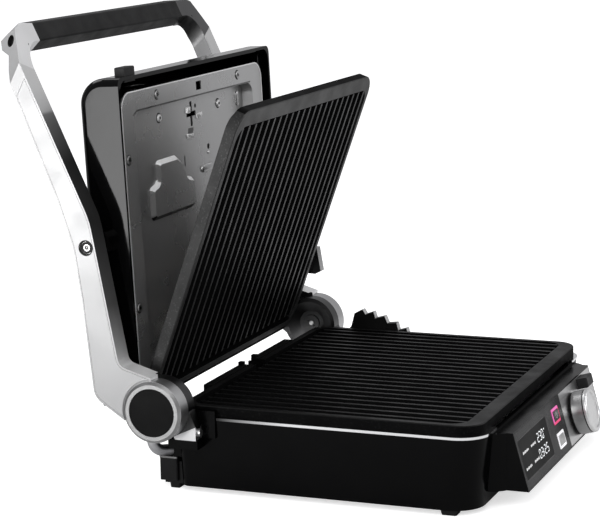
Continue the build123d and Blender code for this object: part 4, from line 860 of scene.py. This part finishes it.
# Reflector's screws: painted shade in the gaps and sockets on the flange, whole heads in the pan with
# painted shade in their gaps and sockets
flange_screws = in_mm(
    ((-74.2, -7.0), (85.0, -7.0), (-130.0, -51.0), (130.0, -51.0), (-130.0, -164.5), (130.0, -164.5))
)
flange_gap = (4.1 * MM, 3.45 * MM)
flange_socket = 1.5 * MM
flange_screw_rise = 0.9 * MM
pan_screws = in_mm(((-54.7, -27.4), (61.1, -28.2)))
pan_screw_radius = 3.2 * MM
pan_screw_rise = 1.4 * MM
pan_screw_slope = 0.8 * MM
pan_screw_gap = 4.2 * MM
pan_socket = 1.4 * MM
pan_socket_heights = (1.3 * MM, 1.5 * MM)
# painted shade in the screw gaps, sockets and holes
screw_gap_shade = grained_plastic("ScrewGapShade", grey(0.006), grey(0.01))
# bright metal of the screws, and a painted highlight on the pan's pressed tabs and dots
screw_metal_and_tab_highlight = metal("ScrewMetalAndTabHighlight", grey(0.75), grey(0.85), (0.25, 0.35), share=0.5)
flange_gaps = [ring(x, y, *flange_gap) for x, y in flange_screws]
band("flange_screw_gaps", sheet, flange_gaps, screw_gap_shade, "lid")
prisms(
    "flange_screw_sockets",
    sheet,
    [circle(x, y, flange_socket, HEXAGON) for x, y in flange_screws],
    screw_gap_shade,
    "lid",
    flange_screw_rise - print_rise,
    flange_screw_rise + print_rise / 2,
)
pan_heads = [circle(x, y, pan_screw_radius) for x, y in pan_screws]
pan_gaps = [ring(x, y, pan_screw_gap, pan_screw_radius) for x, y in pan_screws]
pan_sockets = [circle(x, y, pan_socket, HEXAGON) for x, y in pan_screws]
relief("pan_screws", pan, pan_heads, pan_screw_rise, pan_screw_slope, screw_metal_and_tab_highlight, "lid")
band("pan_screw_gaps", pan, pan_gaps, screw_gap_shade, "lid")
prisms("pan_screw_sockets", pan, pan_sockets, screw_gap_shade, "lid", *pan_socket_heights)

# Pan: tabs of the cross with a painted highlight, painted shade in the cross's groove and in a hole, a dot
# with a painted highlight, and two pressed shapes
tab_corners = (
    ((16.5, -36.3), (26.5, -36.0), (27.0, -30.8), (16.0, -31.4)),
    ((-3.6, -30.2), (3.2, -30.2), (4.0, -24.4), (-2.4, -24.4)),
    ((-3.0, -50.6), (6.2, -50.6), (7.6, -46.8), (-4.0, -46.2)),
)
tab_rounding = 0.8 * MM
tab_rise = 1.6 * MM
tab_slope = 0.9 * MM
groove_corners = ((-1.6, -46.6), (7.8, -46.6), (9.4, -44.0), (9.4, -42.2), (-0.6, -42.2))
groove_rounding = 0.5 * MM
pan_hole = (15.7 * MM, -25.3 * MM, 1.7 * MM)
pan_dot = (36.0 * MM, -66.0 * MM, 1.5 * MM)
dot_rise = 1.0 * MM
dot_slope = 0.6 * MM
slot_shape = (31.0 * MM, -78.2 * MM, 22.0 * MM, 6.4 * MM)
slot_rounding = 3.0 * MM
slot_rise = 1.6 * MM
oval_shape = (103.0 * MM, -28.5 * MM, 8.0 * MM, 14.0 * MM)
oval_rounding = 3.8 * MM
oval_rise = 1.4 * MM
tab_outlines = [rounded(in_mm(corners), tab_rounding) for corners in tab_corners]
slot_outline = rounded(rectangle(*slot_shape), slot_rounding)
oval_outline = rounded(rectangle(*oval_shape), oval_rounding, 8)
relief("cross_tabs", pan, tab_outlines, tab_rise, tab_slope, screw_metal_and_tab_highlight, "lid")
prisms("cross_groove", pan, [rounded(in_mm(groove_corners), groove_rounding)], groove_shade, "lid")
# painted shade in the hole
prisms("pan_holes", pan, [circle(*pan_hole)], screw_gap_shade, "lid")
relief("pan_dots", pan, [circle(*pan_dot)], dot_rise, dot_slope, screw_metal_and_tab_highlight, "lid")
relief("pressed_slot", pan, [slot_outline], slot_rise, slot_rise, looks["bare_steel"], "lid")
relief("pressed_oval", pan, [oval_outline], oval_rise, oval_rise, looks["bare_steel"], "lid")

# Dark ring for a black washer on each pivot bolt's head, and a hexagon of painted shade for its socket
bolt_ring = (4.5 * MM, 2.6 * MM)
bolt_hexagon = (1.5 * MM, 0.7 * MM)
for side, side_name in SIDES:
    bolt_face = side_face(side * reach("pivot_bolts", ACROSS), pivot, side, side)
    bolt_rings = [ring(0, 0, *bolt_ring), ring(0, 0, *bolt_hexagon, HEXAGON)]
    band(side_name + "_bolt_ring", bolt_face, bolt_rings, black_and_recess_shade, "lid")

# Painted shade in the gap round each pivot bolt, in the arm's cover
gap_shade_ring = (6.0 * MM, 5.0 * MM)
gap_shade_depth = 1.0 * MM
for side, side_name in SIDES:
    cover_face = side_face(side * reach("right_arm_cover", ACROSS), pivot, side, side)
    gap_shade = ring(0, 0, *gap_shade_ring)
    band(side_name + "_bolt_gap_shade", cover_face, [gap_shade], black_and_recess_shade, "arm_frame", -gap_shade_depth)

# Small bright screws in the middle of the hinge pins' heads
pin_screw_radius = 2.1 * MM
pin_screw_rise = 1.0 * MM
pin_screw_slope = 0.6 * MM
for side, side_name in SIDES:
    pin_face = side_face(side * (reach("left_hinge_bracket", -ACROSS) - hub_depth), hub, side, -side)
    head = circle(0, 0, pin_screw_radius, 24)
    relief(side_name + "_pin_screw", pin_face, [head], pin_screw_rise, pin_screw_slope, screw_metal_and_tab_highlight, "base")


# Studio lamps: sizes and places in metres, power in watts, turn in degrees about the beam
def lamp(name, place, aim, size, power, turn=0.0):
    data = bpy.data.lights.new(name, "AREA")
    data.shape = "RECTANGLE"
    data.size, data.size_y = size
    data.energy = power
    made = bpy.data.objects.new(name, data)
    made.location = place
    made.rotation_mode = "QUATERNION"
    facing = (Vector(aim) - Vector(place)).to_track_quat("-Z", "Y")
    made.rotation_quaternion = facing @ Quaternion((0, 0, 1), math.radians(turn))
    scene.collection.objects.link(made)


lamp("key", place=(-1.3, -0.3, 1.0), aim=(0, 0, 0.15), size=(0.9, 0.9), power=10.0)
lamp("card", place=(-1.2, 0.563, 0.149), aim=(-0.156, 0.17, 0.25), size=(0.3, 0.5), power=8.0, turn=-27.0)
lamp("front", place=(0.7, -1.4, 0.9), aim=(0, 0, 0.1), size=(0.8, 0.8), power=8.0)
lamp("back", place=(0.2, 1.2, 1.4), aim=(0, 0.05, 0.15), size=(1.0, 0.6), power=9.0)

# World: a grey light, white where the camera sees it
world_light = grey(0.55, 0.56)
world_shown = grey(1.0)
world = bpy.data.worlds.new("Studio")
scene.world = world
world.use_nodes = True
sky = world.node_tree
sky.nodes.clear()
sky_out = sky.nodes.new("ShaderNodeOutputWorld")
sky_light = sky.nodes.new("ShaderNodeBackground")
sky_light.inputs["Color"].default_value = (*world_light, 1.0)
sky_shown = sky.nodes.new("ShaderNodeBackground")
sky_shown.inputs["Color"].default_value = (*world_shown, 1.0)
sky_path = sky.nodes.new("ShaderNodeLightPath")
sky_mix = sky.nodes.new("ShaderNodeMixShader")
sky.links.new(sky_path.outputs["Is Camera Ray"], sky_mix.inputs["Fac"])
sky.links.new(sky_light.outputs[0], sky_mix.inputs[1])
sky.links.new(sky_shown.outputs[0], sky_mix.inputs[2])
sky.links.new(sky_mix.outputs[0], sky_out.inputs["Surface"])

# Floor: pale, and lifted towards white where the camera sees it
floor_half = 6
floor_lift = 0.62
floor_mesh = bpy.data.meshes.new("floor")
floor_corners = ((-1, -1), (1, -1), (1, 1), (-1, 1))
floor_mesh.from_pydata([(x * floor_half, y * floor_half, 0) for x, y in floor_corners], [], [(0, 1, 2, 3)])
floor = bpy.data.objects.new("floor", floor_mesh)
scene.collection.objects.link(floor)
floor_look = Shader("FloorWhite").set(Specular_IOR_Level=0.1, Emission_Color=(1.0, 1.0, 1.0, 1.0))
floor_look.colour(grey(0.86), grey(0.88), 3.0).rough(0.7, 0.8, 5.0)
floor_path = floor_look.node("ShaderNodeLightPath").outputs["Is Camera Ray"]
floor_strength = floor_look.range(floor_path, 0.0, floor_lift, 0.0, 1.0)
floor_look.link(floor_strength, floor_look.surface.inputs["Emission Strength"])
floor_mesh.materials.append(floor_look.material)

# Camera: place in metres, angles solved from the photograph, lens and sensor in mm
camera_place = Vector((-1.56618, -0.54479, 0.46654))
camera_yaw = math.radians(21.5926)
camera_pitch = math.radians(10.4551)
camera_roll = math.radians(-1.0924)
camera_lens = 127.885
camera_sensor = 36.0
camera_end = 50.0
forward = Vector((
    math.cos(camera_yaw) * math.cos(camera_pitch),
    math.sin(camera_yaw) * math.cos(camera_pitch),
    -math.sin(camera_pitch),
))
level_right = Vector((math.sin(camera_yaw), -math.cos(camera_yaw), 0))
level_up = level_right.cross(forward)
camera_right = level_right * math.cos(camera_roll) + level_up * math.sin(camera_roll)
camera_up = level_up * math.cos(camera_roll) - level_right * math.sin(camera_roll)
camera_data = bpy.data.cameras.new("camera")
camera_data.lens = camera_lens
camera_data.sensor_width = camera_sensor
camera_data.sensor_fit = "HORIZONTAL"
camera_data.clip_end = camera_end
camera = bpy.data.objects.new("camera", camera_data)
camera.matrix_world = Matrix((
    (camera_right.x, camera_up.x, -forward.x, camera_place.x),
    (camera_right.y, camera_up.y, -forward.y, camera_place.y),
    (camera_right.z, camera_up.z, -forward.z, camera_place.z),
    (0, 0, 0, 1),
))
scene.collection.objects.link(camera)
scene.camera = camera

scene.view_settings.view_transform = "Standard"
